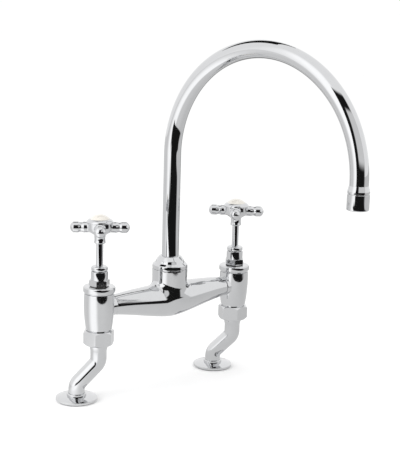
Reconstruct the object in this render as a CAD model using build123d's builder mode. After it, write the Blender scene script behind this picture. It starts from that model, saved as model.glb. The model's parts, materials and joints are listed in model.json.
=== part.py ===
"""Deck-mounted bridge mixer: two screw-down valves joined by a bridge that carries a swivel swan-neck spout.

Millimetres, +Z up, +X from the left valve to the right valve, -Y towards the user.
The origin is the point on the deck's top surface under the spout column.
"""

import os
from math import cos, hypot, pi, radians, sin

from build123d import *

os.makedirs("parts", exist_ok=True)

# Overall layout
valve_spacing = 200.0
spout_angle = 11.3
spout_radius = 128.5
spout_centre_height = 279.5
outlet_height = 250.5

# Running and assembly clearances
running = 0.06
face_gap = 0.05
edge_break = 0.4

# Spout tube and its seat in the bridge
tube_radius = 10.0
tube_wall = 1.2
tube_bore = tube_radius - tube_wall
tube_bottom = 106.0
socket_radius = 20.9
socket_foot_radius = 21.2
socket_foot = 115.0
socket_root = 98.0
bowl_radius = 26.0
socket_bore = 14.0
socket_floor = 101.0
socket_top = 143.5
cap_thread_radius = 15.6
cap_thread_bottom = 136.0
bush_bottom = 104.0
bush_top = 135.0
o_ring_section = 1.3
o_ring_heights = (111.0, 125.0)

# Spout cap, a stepped dome over the socket
cap_radius = 20.9
cap_rebate_radius = 20.1
cap_rebate_height = 0.7
cap_shoulder = 147.6
cap_shoulder_round = 1.5
cap_ring_radius = 12.3
cap_ring_bottom = 156.2
cap_top = 158.6

# Outlet end of the spout
ferrule_top = 276.3
ferrule_radius = 11.6
ferrule_rim = 270.6
ferrule_bottom = 268.3
nozzle_radius = 11.7
nozzle_top = 267.5
nozzle_thread_radius = 10.6
nozzle_thread_bottom = 260.0
nozzle_bore = 9.7
nozzle_lip_bore = 8.8
nozzle_lip = 253.0
nozzle_round = 1.3

# Bridge casting, fat in the middle and slim at the valves
bridge_end = 81.5
bridge_end_radius = 11.4
bridge_middle_radius = 20.2
bridge_middle_round = 0.12
bridge_sections = 9
bridge_end_height = 109.7
bridge_middle_height = 105.0
bridge_spigot_radius = 9.0
bridge_spigot_length = 6.5
waterway = 6.0

# Valve body
body_bottom = 85.2
body_bottom_radius = 15.1
body_flank_height = 95.0
body_flank_radius = 16.2
body_shoulder_height = 104.5
body_shoulder_radius = 17.15
body_belly_height = 114.0
body_belly_radius = 17.55
body_top_radius = 17.3
body_neck = 126.6
rim_groove_radius = 16.5
rim_bottom = 127.9
rim_radius = 18.35
rim_round = 1.7
body_top = 135.0
chamber_radius = 9.5
chamber_floor = 97.0
side_boss_radius = 11.8
inlet_bore = 8.0
spigot_radius = 13.2
spigot_bottom = 74.5

# Seat and jumper below the spindle
seat_bottom = 92.0
seat_top = 98.55
seat_hole = 5.5
washer_bottom = seat_top + face_gap
washer_top = 101.5
washer_radius = 6.8
jumper_top = 103.5
jumper_radius = 7.0
jumper_stem_radius = 2.5
jumper_stem_top = 112.0
washer_nut_bottom = 96.8
washer_nut_radius = 3.1

# Headwork: hexagon, sleeve, stuffing box and gland nut
bonnet_washer_thickness = 0.8
hexagon_radius = 12.1
hexagon_top = 142.6
sleeve_radius = 9.8
sleeve_top = 152.5
shank_bottom = 114.0
web_bottom = 143.6
web_top = 145.5
stuffing_radius = 7.0
packing_top = 149.0
gland_bottom = 153.1
gland_top = 158.4
gland_radius = 9.4
gland_round = 1.9

# Spindle
spindle_radius = 4.0
spindle_thread_radius = 6.0
spindle_bottom = 103.8
spindle_thread_top = 138.0
spindle_top = 204.0
spindle_stem_hole_top = 113.0
handle_screw_radius = 2.0
handle_screw_bottom = 194.0
handle_screw_head_radius = 5.5
handle_screw_head_top = 206.4

# Crosshead handle
collar_radius = 6.5
collar_bottom = 184.8
collar_top = 194.4
hub_foot_radius = 7.2
hub_radius = 14.6
hub_rim_radius = 14.9
hub_floor = spindle_top
hub_top = 208.6
hub_recess_radius = 13.2
arm_height = 203.2
arm_start = 9.0
arm_end = 33.6
arm_radius = 6.3
arm_waist_radius = 5.5
arm_bead_end = 18.0
arm_waist = 21.5
arm_barrel_start = 24.5
arm_dome = 3.8
arm_rim_round = 1.4

# Button ring and porcelain button
ring_radius = 15.1
ring_edge = 209.4
ring_top = 212.9
ring_slope_radius = 5.2
ring_bore = 11.3
ring_lip = 0.7
ring_thread_bottom = 206.6
button_bottom = 206.8
button_top = 218.0

# Union nut and cranked leg
union_nut_radius = 18.5
union_nut_bottom = 66.2
union_nut_top = 83.2
union_nut_shoulder = 70.0
union_nut_chamfer = 2.6
union_washer_bottom = 72.55
union_washer_bore = 7.5
leg_radius = 9.5
leg_bore = 7.0
leg_neck_radius = 10.5
leg_neck_bottom = 63.0
leg_taper_bottom = 58.5
leg_flare_radius = 12.9
leg_flare_bottom = union_nut_shoulder + face_gap
leg_flare_top = 72.5
leg_offset = 25.0
leg_upper_knee = 44.6
leg_lower_knee = 18.3
leg_bend = 14.0
leg_bottom = 2.0

# Tail, flange and fixings at the deck
tail_radius = 10.48
tail_bore = 6.5
tail_collar_radius = 11.3
tail_collar_bottom = 5.6
tail_collar_top = 8.6
tail_bottom = -50.0
tail_groove_radius = 9.4
tail_groove_bottom = -36.2
tail_groove_top = -35.2
flange_radius = 24.0
flange_bottom = 0.8
flange_edge = 3.6
flange_dome_radius = 60.0
flange_bore = 10.6
gasket_radius = 22.5
gasket_bore = 12.0
back_washer_radius = 17.0
back_washer_top = -25.0
back_washer_thickness = 2.0
back_nut_radius = 16.5
back_nut_height = 8.0

# Where the two sides differ: how far each leg, nut and handle is turned
sides = ("left", "right")
valve_x = {"left": -valve_spacing / 2, "right": valve_spacing / 2}
leg_angle = {"left": 153.8, "right": 119.4}
union_nut_angle = {"left": 44.5, "right": 9.0}
hexagon_angle = {"left": 40.0, "right": 53.0}
handle_angle = {"left": 56.5, "right": 47.0}


def upright(x, y, turn=0.0):
    """A standing plane through a vertical axis: local x points outwards at the angle turn, local y is up."""
    a = radians(turn)
    return Plane(origin=(x, y, 0), x_dir=(cos(a), sin(a), 0), z_dir=(sin(a), -cos(a), 0))


def level(x, y, z):
    """A flat plane at the height z, centred on the axis at x, y."""
    return Plane(origin=(x, y, z))


def standing_axis(x, y):
    """The vertical axis through x, y."""
    return Axis((x, y, 0), (0, 0, 1))


def keep(builder, name):
    """Name a finished piece and write it to its file."""
    builder.part.label = name
    export_step(builder.part, f"parts/{name}.step")


def make_ring(name, x, y, bore, radius, bottom, top, edge=0.0):
    """A plain washer or ring between two heights, its outer corners broken by edge."""
    with BuildPart() as ring:
        with BuildSketch(level(x, y, bottom)):
            Circle(radius)
            Circle(bore, mode=Mode.SUBTRACT)
        extrude(amount=top - bottom)
        if edge > 0:
            rims = ring.edges().filter_by(GeomType.CIRCLE).filter_by(lambda e: e.radius > radius - edge_break)
            chamfer(rims, edge)
    keep(ring, name)


def make_hexagon_nut(name, x, y, corner_radius, bore, bottom, top, turn, corner_cut, pocket=None):
    """A six-sided nut with its corners turned down at both ends by corner_cut.

    A pocket is a wider bore from the top, given as its radius and the height of its floor.
    """
    with BuildPart() as nut:
        with BuildSketch(level(x, y, bottom)):
            RegularPolygon(corner_radius, 6, rotation=turn)
        extrude(amount=top - bottom)
        with BuildSketch(upright(x, y)):
            with BuildLine():
                Polyline(
                    (0, bottom),
                    (corner_radius - corner_cut, bottom),
                    (corner_radius, bottom + corner_cut),
                    (corner_radius, top - corner_cut),
                    (corner_radius - corner_cut, top),
                    (0, top),
                    close=True,
                )
            make_face()
        revolve(axis=standing_axis(x, y), mode=Mode.INTERSECT)
        with BuildSketch(level(x, y, bottom)):
            Circle(bore)
        extrude(amount=top - bottom, mode=Mode.SUBTRACT)
        if pocket:
            pocket_radius, pocket_floor = pocket
            with BuildSketch(level(x, y, pocket_floor)):
                Circle(pocket_radius)
            extrude(amount=top - pocket_floor, mode=Mode.SUBTRACT)
    keep(nut, name)


# Bridge casting

def bridge_radius(share):
    """Radius at a share of the way to the end: a straight taper, rounded off near the middle."""
    full_fall = hypot(1, bridge_middle_round) - bridge_middle_round
    fall = (hypot(share, bridge_middle_round) - bridge_middle_round) / full_fall
    return bridge_middle_radius + (bridge_end_radius - bridge_middle_radius) * fall


def bridge_height(share):
    """Height of the bridge's centre line, which sags smoothly towards the middle."""
    rise = bridge_end_height - bridge_middle_height
    return bridge_middle_height + rise * sin(pi / 2 * share) ** 2


def make_bridge():
    """The casting between the valves, with the spout socket on top and one waterway through it."""
    with BuildPart() as bridge:
        for section in range(bridge_sections):
            share = 2 * section / (bridge_sections - 1) - 1
            with BuildSketch(Plane.YZ.offset(bridge_end * share)):
                with Locations((0, bridge_height(abs(share)))):
                    Circle(bridge_radius(abs(share)))
        loft()
        with BuildSketch(upright(0, 0)):
            with BuildLine():
                Polyline(
                    (0, socket_root),
                    (0, socket_top),
                    (socket_radius - edge_break, socket_top),
                    (socket_radius, socket_top - edge_break),
                    (socket_foot_radius, socket_foot),
                )
                bowl_drop = socket_foot - socket_root
                root_radius = socket_foot_radius - bowl_radius + (bowl_radius**2 - bowl_drop**2) ** 0.5
                RadiusArc((socket_foot_radius, socket_foot), (root_radius, socket_root), bowl_radius)
                Line((root_radius, socket_root), (0, socket_root))
            make_face()
        revolve(axis=standing_axis(0, 0))
        for end in (-1, 1):
            with BuildSketch(Plane.YZ.offset(end * bridge_end)):
                with Locations((0, bridge_end_height)):
                    Circle(bridge_spigot_radius)
            extrude(amount=end * bridge_spigot_length)
        reach = bridge_end + bridge_spigot_length
        with BuildSketch(Plane.YZ.offset(-reach)):
            with Locations((0, bridge_end_height)):
                Circle(waterway)
        extrude(amount=2 * reach, mode=Mode.SUBTRACT)
        with BuildSketch(level(0, 0, socket_floor)):
            Circle(socket_bore)
        extrude(amount=socket_top - socket_floor, mode=Mode.SUBTRACT)
        with BuildSketch(level(0, 0, cap_thread_bottom)):
            Circle(cap_thread_radius)
        extrude(amount=socket_top - cap_thread_bottom, mode=Mode.SUBTRACT)
    keep(bridge, "bridge")


# Spout socket: cap, wear ring and the turning bush with its seals

def make_spout_cap():
    """The stepped dome that screws into the socket and holds the spout down."""
    with BuildPart() as cap:
        with BuildSketch(upright(0, 0)) as outline:
            with BuildLine():
                inner = tube_radius + running
                rebate_top = socket_top + cap_rebate_height
                Polyline(
                    (inner, cap_thread_bottom + face_gap),
                    (cap_thread_radius - face_gap, cap_thread_bottom + face_gap),
                    (cap_thread_radius - face_gap, socket_top),
                    (cap_rebate_radius, socket_top),
                    (cap_rebate_radius, rebate_top),
                    (cap_radius, rebate_top),
                    (cap_radius, cap_shoulder),
                    (cap_ring_radius, cap_ring_bottom),
                    (cap_ring_radius, cap_top),
                    (inner, cap_top),
                    close=True,
                )
            make_face()
            shoulder = outline.vertices().group_by(Axis.X)[-1].sort_by(Axis.Y)[-1]
            fillet(shoulder, cap_shoulder_round)
            ring_edge = outline.vertices().group_by(Axis.Y)[-1].sort_by(Axis.X)[-1]
            fillet(ring_edge, 1.5 * edge_break)
        revolve(axis=standing_axis(0, 0))
    keep(cap, "spout_cap")


def make_spout_bush():
    """The brass bush brazed round the foot of the tube, with two seal grooves."""
    with BuildPart() as bush:
        with BuildSketch(upright(0, 0)):
            with Locations(((tube_radius + socket_bore - running) / 2, (bush_bottom + bush_top) / 2)):
                Rectangle(socket_bore - running - tube_radius, bush_top - bush_bottom)
            groove_depth = 2 * (2 * o_ring_section + running + face_gap)
            for height in o_ring_heights:
                with Locations((socket_bore, height)):
                    Rectangle(groove_depth, 2 * o_ring_section + 2 * face_gap, mode=Mode.SUBTRACT)
        revolve(axis=standing_axis(0, 0))
    keep(bush, "spout_bush")


def make_spout_o_rings():
    """Two rubber rings in the bush's grooves, as separate solids in one piece."""
    with BuildPart() as rings:
        for height in o_ring_heights:
            with Locations((0, 0, height)):
                Torus(socket_bore - running - o_ring_section, o_ring_section)
    keep(rings, "spout_o_rings")


# Swan-neck tube and outlet

spout_turn = spout_angle - 90.0
outlet_x = 2 * spout_radius * sin(radians(spout_angle))
outlet_y = -2 * spout_radius * cos(radians(spout_angle))


def make_spout_tube():
    """One tube: up from the bush, over a half circle and down to the ferrule."""
    with BuildPart() as tube:
        with BuildLine(upright(0, 0, spout_turn)) as path:
            Line((0, tube_bottom), (0, spout_centre_height))
            ThreePointArc(
                (0, spout_centre_height),
                (spout_radius, spout_centre_height + spout_radius),
                (2 * spout_radius, spout_centre_height),
            )
            Line((2 * spout_radius, spout_centre_height), (2 * spout_radius, ferrule_bottom))
        with BuildSketch(level(0, 0, tube_bottom)):
            Circle(tube_radius)
            Circle(tube_bore, mode=Mode.SUBTRACT)
        sweep(path=path.wires()[0])
    keep(tube, "spout_tube")


def make_outlet_ferrule():
    """The flared ring brazed on the tube's mouth, with a thread below it for the nozzle."""
    with BuildPart() as ferrule:
        with BuildSketch(upright(outlet_x, outlet_y)):
            with BuildLine():
                thread = nozzle_thread_radius - face_gap
                Line((tube_radius, ferrule_top), (tube_radius + edge_break / 2, ferrule_top))
                Line((tube_radius + edge_break / 2, ferrule_top), (ferrule_radius, ferrule_rim))
                Polyline(
                    (ferrule_radius, ferrule_rim),
                    (ferrule_radius, ferrule_bottom),
                    (thread, ferrule_bottom),
                    (thread, nozzle_thread_bottom),
                    (tube_bore, nozzle_thread_bottom),
                    (tube_bore, ferrule_bottom),
                    (tube_radius, ferrule_bottom),
                    (tube_radius, ferrule_top),
                )
            make_face()
        revolve(axis=standing_axis(outlet_x, outlet_y))
    keep(ferrule, "outlet_ferrule")


def make_nozzle():
    """The aerator's outer shell, screwed on the ferrule, with a small lip at its mouth."""
    with BuildPart() as nozzle:
        with BuildSketch(upright(outlet_x, outlet_y)) as outline:
            with BuildLine():
                Polyline(
                    (nozzle_lip_bore, outlet_height),
                    (nozzle_radius, outlet_height),
                    (nozzle_radius, nozzle_top),
                    (nozzle_thread_radius, nozzle_top),
                    (nozzle_thread_radius, nozzle_thread_bottom),
                    (nozzle_bore, nozzle_thread_bottom),
                    (nozzle_bore, nozzle_lip),
                    (nozzle_lip_bore, nozzle_lip),
                    close=True,
                )
            make_face()
            corners = outline.vertices().filter_by(lambda v: v.X > nozzle_radius - edge_break)
            fillet(corners.sort_by(Axis.Y)[0], nozzle_round)
            fillet(corners.sort_by(Axis.Y)[-1], edge_break)
        revolve(axis=standing_axis(outlet_x, outlet_y))
    keep(nozzle, "nozzle")


def make_aerator():
    """Washer, slotted insert and wire mesh inside the nozzle."""
    insert_top = nozzle_thread_bottom - 1.5
    mesh_top = nozzle_lip + 0.6
    make_ring(
        "aerator_washer", outlet_x, outlet_y, tube_bore - 1.2, nozzle_bore - face_gap,
        insert_top, nozzle_thread_bottom,
    )
    with BuildPart() as insert:
        with BuildSketch(level(outlet_x, outlet_y, mesh_top)):
            Circle(nozzle_bore - face_gap)
            with PolarLocations(5.2, 12):
                Circle(0.9, mode=Mode.SUBTRACT)
            with PolarLocations(2.4, 6):
                Circle(0.8, mode=Mode.SUBTRACT)
        extrude(amount=insert_top - mesh_top)
    keep(insert, "aerator_insert")
    with BuildPart() as mesh:
        with BuildSketch(level(outlet_x, outlet_y, nozzle_lip)):
            Circle(nozzle_bore - face_gap)
            with GridLocations(2.1, 2.1, 6, 6):
                Rectangle(1.5, 1.5, mode=Mode.SUBTRACT)
        extrude(amount=mesh_top - nozzle_lip)
    keep(mesh, "aerator_mesh")


# Valve, from the seat up to the gland

def make_valve_body(side):
    """The upright valve casting, with a rimmed top, a side boss for the bridge and a threaded foot."""
    x = valve_x[side]
    inwards = 1 if side == "left" else -1
    with BuildPart() as body:
        with BuildSketch(upright(x, 0)) as outline:
            with BuildLine():
                Polyline(
                    (0, body_top),
                    (0, spigot_bottom),
                    (spigot_radius, spigot_bottom),
                    (spigot_radius, body_bottom),
                    (body_bottom_radius, body_bottom),
                )
                Spline(
                    (body_bottom_radius, body_bottom),
                    (body_flank_radius, body_flank_height),
                    (body_shoulder_radius, body_shoulder_height),
                    (body_belly_radius, body_belly_height),
                    (body_top_radius, body_neck),
                    tangents=[(0.12, 1), (-0.03, 1)],
                )
                Polyline(
                    (body_top_radius, body_neck),
                    (rim_groove_radius, body_neck + edge_break),
                    (rim_groove_radius, rim_bottom),
                    (rim_radius, rim_bottom),
                    (rim_radius, body_top),
                    (0, body_top),
                )
            make_face()
            rim_corners = outline.vertices().filter_by(lambda v: v.X > rim_radius - face_gap)
            fillet(rim_corners, rim_round)
        revolve(axis=standing_axis(x, 0))
        with BuildSketch(Plane.YZ.offset(x)):
            with Locations((0, bridge_end_height)):
                Circle(side_boss_radius)
        boss_reach = valve_spacing / 2 - bridge_end
        extrude(amount=inwards * boss_reach)
        with BuildSketch(level(x, 0, chamber_floor)):
            Circle(chamber_radius)
        extrude(amount=body_top - chamber_floor, mode=Mode.SUBTRACT)
        with BuildSketch(level(x, 0, spigot_bottom)):
            Circle(inlet_bore)
        extrude(amount=chamber_floor - spigot_bottom, mode=Mode.SUBTRACT)
        with BuildSketch(Plane.YZ.offset(x)):
            with Locations((0, bridge_end_height)):
                Circle(waterway)
        extrude(amount=inwards * boss_reach, mode=Mode.SUBTRACT)
        with BuildSketch(Plane.YZ.offset(-inwards * bridge_end)):
            with Locations((0, bridge_end_height)):
                Circle(bridge_spigot_radius)
        extrude(amount=-inwards * bridge_spigot_length, mode=Mode.SUBTRACT)
    keep(body, f"{side}_valve_body")


def make_seat(side):
    """The brass seat ring, whose lip stands proud of the chamber's floor."""
    x = valve_x[side]
    with BuildPart() as seat:
        with BuildSketch(level(x, 0, seat_bottom)):
            Circle(inlet_bore)
        extrude(amount=chamber_floor - seat_bottom)
        with BuildSketch(level(x, 0, chamber_floor)):
            Circle(inlet_bore - edge_break)
        extrude(amount=seat_top - chamber_floor, taper=20)
        with BuildSketch(level(x, 0, seat_bottom)):
            Circle(seat_hole)
        extrude(amount=seat_top - seat_bottom, mode=Mode.SUBTRACT)
    keep(seat, f"{side}_valve_seat")


def make_jumper(side):
    """The jumper that lifts off the seat, its tap washer and the small nut that holds the washer."""
    x = valve_x[side]
    with BuildPart() as jumper:
        with BuildSketch(level(x, 0, washer_top)):
            Circle(jumper_radius)
        extrude(amount=jumper_top - washer_top)
        with BuildSketch(level(x, 0, washer_nut_bottom)):
            Circle(jumper_stem_radius / 2)
        extrude(amount=washer_top - washer_nut_bottom)
        with BuildSketch(level(x, 0, jumper_top)):
            Circle(jumper_stem_radius)
        extrude(amount=jumper_stem_top - jumper_top)
    keep(jumper, f"{side}_jumper")
    make_ring(f"{side}_tap_washer", x, 0, jumper_stem_radius / 2, washer_radius, washer_bottom, washer_top)
    make_hexagon_nut(
        f"{side}_washer_nut", x, 0, washer_nut_radius, jumper_stem_radius / 2,
        washer_nut_bottom, washer_bottom, 0, edge_break / 2,
    )


def make_bonnet(side):
    """The headwork: a shank in the valve body, a hexagon to tighten it and a sleeve with the stuffing box."""
    x = valve_x[side]
    hexagon_bottom = body_top + bonnet_washer_thickness
    with BuildPart() as bonnet:
        with BuildSketch(level(x, 0, hexagon_bottom)):
            RegularPolygon(hexagon_radius, 6, rotation=hexagon_angle[side])
        extrude(amount=hexagon_top - hexagon_bottom)
        chamfer(bonnet.faces().sort_by(Axis.Z)[-1].edges(), edge_break)
        with BuildSketch(level(x, 0, shank_bottom)):
            Circle(chamber_radius - face_gap)
        extrude(amount=hexagon_bottom - shank_bottom)
        with BuildSketch(level(x, 0, hexagon_top)):
            Circle(sleeve_radius)
        extrude(amount=sleeve_top - hexagon_top)
        chamfer(bonnet.faces().sort_by(Axis.Z)[-1].edges(), edge_break)
        with BuildSketch(level(x, 0, shank_bottom)):
            Circle(spindle_thread_radius + running)
        extrude(amount=web_bottom - shank_bottom, mode=Mode.SUBTRACT)
        with BuildSketch(level(x, 0, web_bottom)):
            Circle(spindle_radius + running)
        extrude(amount=web_top - web_bottom, mode=Mode.SUBTRACT)
        with BuildSketch(level(x, 0, web_top)):
            Circle(stuffing_radius)
        extrude(amount=sleeve_top - web_top, mode=Mode.SUBTRACT)
    keep(bonnet, f"{side}_bonnet")
    make_ring(
        f"{side}_bonnet_washer", x, 0, chamber_radius, hexagon_radius - 1.6,
        body_top, hexagon_bottom,
    )


def make_gland(side):
    """The packing ring in the stuffing box and the round gland nut that squeezes it."""
    x = valve_x[side]
    bore = spindle_radius + running
    make_ring(f"{side}_gland_packing", x, 0, bore, stuffing_radius - face_gap, web_top, packing_top)
    with BuildPart() as gland:
        with BuildSketch(upright(x, 0)) as outline:
            with BuildLine():
                Polyline(
                    (bore, packing_top),
                    (stuffing_radius - face_gap, packing_top),
                    (stuffing_radius - face_gap, gland_bottom),
                    (gland_radius, gland_bottom),
                    (gland_radius, gland_top),
                    (bore, gland_top),
                    close=True,
                )
            make_face()
            corners = outline.vertices().filter_by(lambda v: v.X > gland_radius - face_gap).sort_by(Axis.Y)
            fillet(corners[-1], gland_round)
            fillet(corners[0], gland_round / 2)
        revolve(axis=standing_axis(x, 0))
    keep(gland, f"{side}_gland_nut")


# Spindle and crosshead handle

def make_spindle(side):
    """The rising spindle: a screwed part in the bonnet and a long plain stem up to the handle."""
    x = valve_x[side]
    with BuildPart() as spindle:
        with BuildSketch(level(x, 0, spindle_bottom)):
            Circle(spindle_thread_radius)
        extrude(amount=spindle_thread_top - spindle_bottom)
        chamfer(spindle.edges().filter_by(GeomType.CIRCLE), edge_break)
        with BuildSketch(level(x, 0, spindle_thread_top)):
            Circle(spindle_radius)
        extrude(amount=spindle_top - spindle_thread_top)
        with BuildSketch(level(x, 0, spindle_bottom)):
            Circle(jumper_stem_radius + running)
        extrude(amount=spindle_stem_hole_top - spindle_bottom, mode=Mode.SUBTRACT)
        with BuildSketch(level(x, 0, handle_screw_bottom)):
            Circle(handle_screw_radius)
        extrude(amount=spindle_top - handle_screw_bottom, mode=Mode.SUBTRACT)
    keep(spindle, f"{side}_spindle")


def make_crosshead(side):
    """The handle casting: a collar, a bowl-shaped hub and four waisted arms."""
    x = valve_x[side]
    with BuildPart() as crosshead:
        with BuildSketch(upright(x, 0)):
            with BuildLine():
                Polyline(
                    (0, hub_top),
                    (0, collar_bottom),
                    (collar_radius - edge_break, collar_bottom),
                    (collar_radius, collar_bottom + 2 * edge_break),
                )
                ThreePointArc(
                    (collar_radius, collar_bottom + 2 * edge_break),
                    (collar_radius - edge_break, (collar_bottom + collar_top) / 2),
                    (collar_radius, collar_top),
                )
                Line((collar_radius, collar_top), (hub_foot_radius, collar_top + edge_break))
                Spline(
                    (hub_foot_radius, collar_top + edge_break),
                    (hub_radius - 1.6, collar_top + 4.6),
                    (hub_radius, arm_height),
                    tangents=[(1, 0.35), (0, 1)],
                )
                Polyline((hub_radius, arm_height), (hub_rim_radius, hub_top), (0, hub_top))
            make_face()
        revolve(axis=standing_axis(x, 0))
        for quarter in range(4):
            a = radians(handle_angle[side] + 90 * quarter)
            outwards = (cos(a), sin(a), 0)
            arm_plane = Plane(origin=(x, 0, arm_height), x_dir=outwards, z_dir=(sin(a), -cos(a), 0))
            with BuildSketch(arm_plane) as arm_outline:
                with BuildLine():
                    Polyline((arm_start, 0), (arm_start, arm_radius), (arm_bead_end, arm_radius))
                    Spline(
                        (arm_bead_end, arm_radius),
                        (arm_waist, arm_waist_radius),
                        (arm_barrel_start, arm_radius),
                        tangents=[(1, 0), (1, 0)],
                    )
                    Line((arm_barrel_start, arm_radius), (arm_end - arm_dome, arm_radius))
                    dome_radius = (arm_radius**2 + arm_dome**2) / (2 * arm_dome)
                    RadiusArc((arm_end - arm_dome, arm_radius), (arm_end, 0), dome_radius)
                    Line((arm_end, 0), (arm_start, 0))
                make_face()
                rim = arm_outline.vertices().filter_by(
                    lambda v: abs(v.X - arm_end + arm_dome) < edge_break and v.Y > 0
                )
                fillet(rim, arm_rim_round)
            revolve(axis=Axis((x, 0, arm_height), outwards))
        with BuildSketch(level(x, 0, collar_bottom)):
            Circle(spindle_radius)
        extrude(amount=hub_floor - collar_bottom, mode=Mode.SUBTRACT)
        with BuildSketch(level(x, 0, hub_floor)):
            Circle(hub_recess_radius)
        extrude(amount=arm_height + arm_radius - hub_floor, mode=Mode.SUBTRACT)
        with BuildSketch(level(x, 0, hub_top)):
            Circle(ring_radius)
        extrude(amount=arm_radius, mode=Mode.SUBTRACT)
    keep(crosshead, f"{side}_crosshead")


def make_handle_screw(side):
    """The screw that holds the handle on the spindle, hidden by the button."""
    x = valve_x[side]
    with BuildPart() as screw:
        with BuildSketch(level(x, 0, handle_screw_bottom)):
            Circle(handle_screw_radius)
        extrude(amount=hub_floor - handle_screw_bottom)
        with BuildSketch(level(x, 0, hub_floor)):
            Circle(handle_screw_head_radius)
        extrude(amount=handle_screw_head_top - hub_floor)
        with BuildSketch(level(x, 0, handle_screw_head_top)):
            Rectangle(2 * handle_screw_head_radius, 1.2)
        extrude(amount=-1.1, mode=Mode.SUBTRACT)
    keep(screw, f"{side}_handle_screw")


def make_button(side):
    """The screwed ring in the hub and the domed porcelain button that it holds by a lip."""
    x = valve_x[side]
    with BuildPart() as ring:
        with BuildSketch(upright(x, 0)):
            with BuildLine():
                thread = hub_recess_radius - face_gap
                Polyline(
                    (ring_bore, ring_top),
                    (ring_bore, hub_top),
                    (ring_bore + ring_lip, hub_top),
                    (ring_bore + ring_lip, ring_thread_bottom),
                    (thread, ring_thread_bottom),
                    (thread, hub_top),
                    (ring_radius, hub_top),
                    (ring_radius, ring_edge),
                )
                RadiusArc((ring_radius, ring_edge), (ring_bore + face_gap, ring_top), -ring_slope_radius)
                Line((ring_bore + face_gap, ring_top), (ring_bore, ring_top))
            make_face()
        revolve(axis=standing_axis(x, 0))
    keep(ring, f"{side}_button_ring")
    with BuildPart() as button:
        with BuildSketch(upright(x, 0)):
            with BuildLine():
                button_radius = ring_bore - face_gap
                Polyline(
                    (0, button_top),
                    (0, button_bottom),
                    (button_radius + ring_lip, button_bottom),
                    (button_radius + ring_lip, hub_top - face_gap),
                    (button_radius, hub_top - face_gap),
                    (button_radius, ring_top),
                )
                rise = button_top - ring_top
                dome_radius = (button_radius**2 + rise**2) / (2 * rise)
                RadiusArc((button_radius, ring_top), (0, button_top), -dome_radius)
            make_face()
        revolve(axis=standing_axis(x, 0))
    keep(button, f"{side}_porcelain_button")


# Union, cranked leg and deck fixings

def foot_of(side):
    """The x and y of a leg's foot."""
    a = radians(leg_angle[side])
    return valve_x[side] + leg_offset * cos(a), leg_offset * sin(a)


def make_union_nut(side):
    """The hexagon union nut, whose inner shoulder pulls the leg's flare up to the valve body."""
    x = valve_x[side]
    make_hexagon_nut(
        f"{side}_union_nut", x, 0, union_nut_radius, leg_neck_radius + running,
        union_nut_bottom, union_nut_top, union_nut_angle[side], union_nut_chamfer,
        pocket=(spigot_radius + face_gap, union_nut_shoulder),
    )
    make_ring(
        f"{side}_union_washer", x, 0, union_washer_bore, leg_flare_radius,
        union_washer_bottom, spigot_bottom,
    )


def make_leg(side):
    """The cranked leg: a neck and flare held by the union nut, and a tube bent twice the opposite way."""
    x = valve_x[side]
    with BuildPart() as leg:
        with BuildLine(upright(x, 0, leg_angle[side])) as path:
            FilletPolyline(
                (0, leg_flare_top),
                (0, leg_upper_knee),
                (leg_offset, leg_lower_knee),
                (leg_offset, leg_bottom),
                radius=leg_bend,
            )
        with BuildSketch(level(x, 0, leg_flare_top)):
            Circle(leg_radius)
        sweep(path=path.wires()[0])
        with BuildSketch(upright(x, 0)):
            with BuildLine():
                Polyline(
                    (0, leg_flare_top),
                    (leg_flare_radius, leg_flare_top),
                    (leg_flare_radius, leg_flare_bottom),
                    (leg_neck_radius, leg_flare_bottom),
                    (leg_neck_radius, leg_neck_bottom),
                    (leg_radius, leg_taper_bottom),
                    (0, leg_taper_bottom),
                    close=True,
                )
            make_face()
        revolve(axis=standing_axis(x, 0))
        with BuildSketch(level(x, 0, leg_flare_top)):
            Circle(leg_bore)
        sweep(path=path.wires()[0], mode=Mode.SUBTRACT)
    keep(leg, f"{side}_leg")


def make_tail(side):
    """The threaded tail that passes through the deck, grooved where the supply fitting ends."""
    x, y = foot_of(side)
    with BuildPart() as tail:
        with BuildSketch(level(x, y, tail_bottom)):
            Circle(tail_radius)
        extrude(amount=tail_collar_bottom - tail_bottom)
        chamfer(tail.edges().filter_by(GeomType.CIRCLE).sort_by(Axis.Z)[0], 2 * edge_break)
        with BuildSketch(level(x, y, tail_collar_bottom)):
            Circle(tail_collar_radius)
        extrude(amount=tail_collar_top - tail_collar_bottom)
        fillet(tail.edges().filter_by(GeomType.CIRCLE).sort_by(Axis.Z)[-1], 2 * edge_break)
        with BuildSketch(level(x, y, tail_bottom)):
            Circle(tail_bore)
        extrude(amount=tail_collar_top - tail_bottom, mode=Mode.SUBTRACT)
        with BuildSketch(level(x, y, leg_bottom)):
            Circle(leg_radius)
        extrude(amount=tail_collar_top - leg_bottom, mode=Mode.SUBTRACT)
        with BuildSketch(level(x, y, tail_groove_bottom)):
            Circle(tail_radius + edge_break)
            Circle(tail_groove_radius, mode=Mode.SUBTRACT)
        extrude(amount=tail_groove_top - tail_groove_bottom, mode=Mode.SUBTRACT)
    keep(tail, f"{side}_tail")


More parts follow.
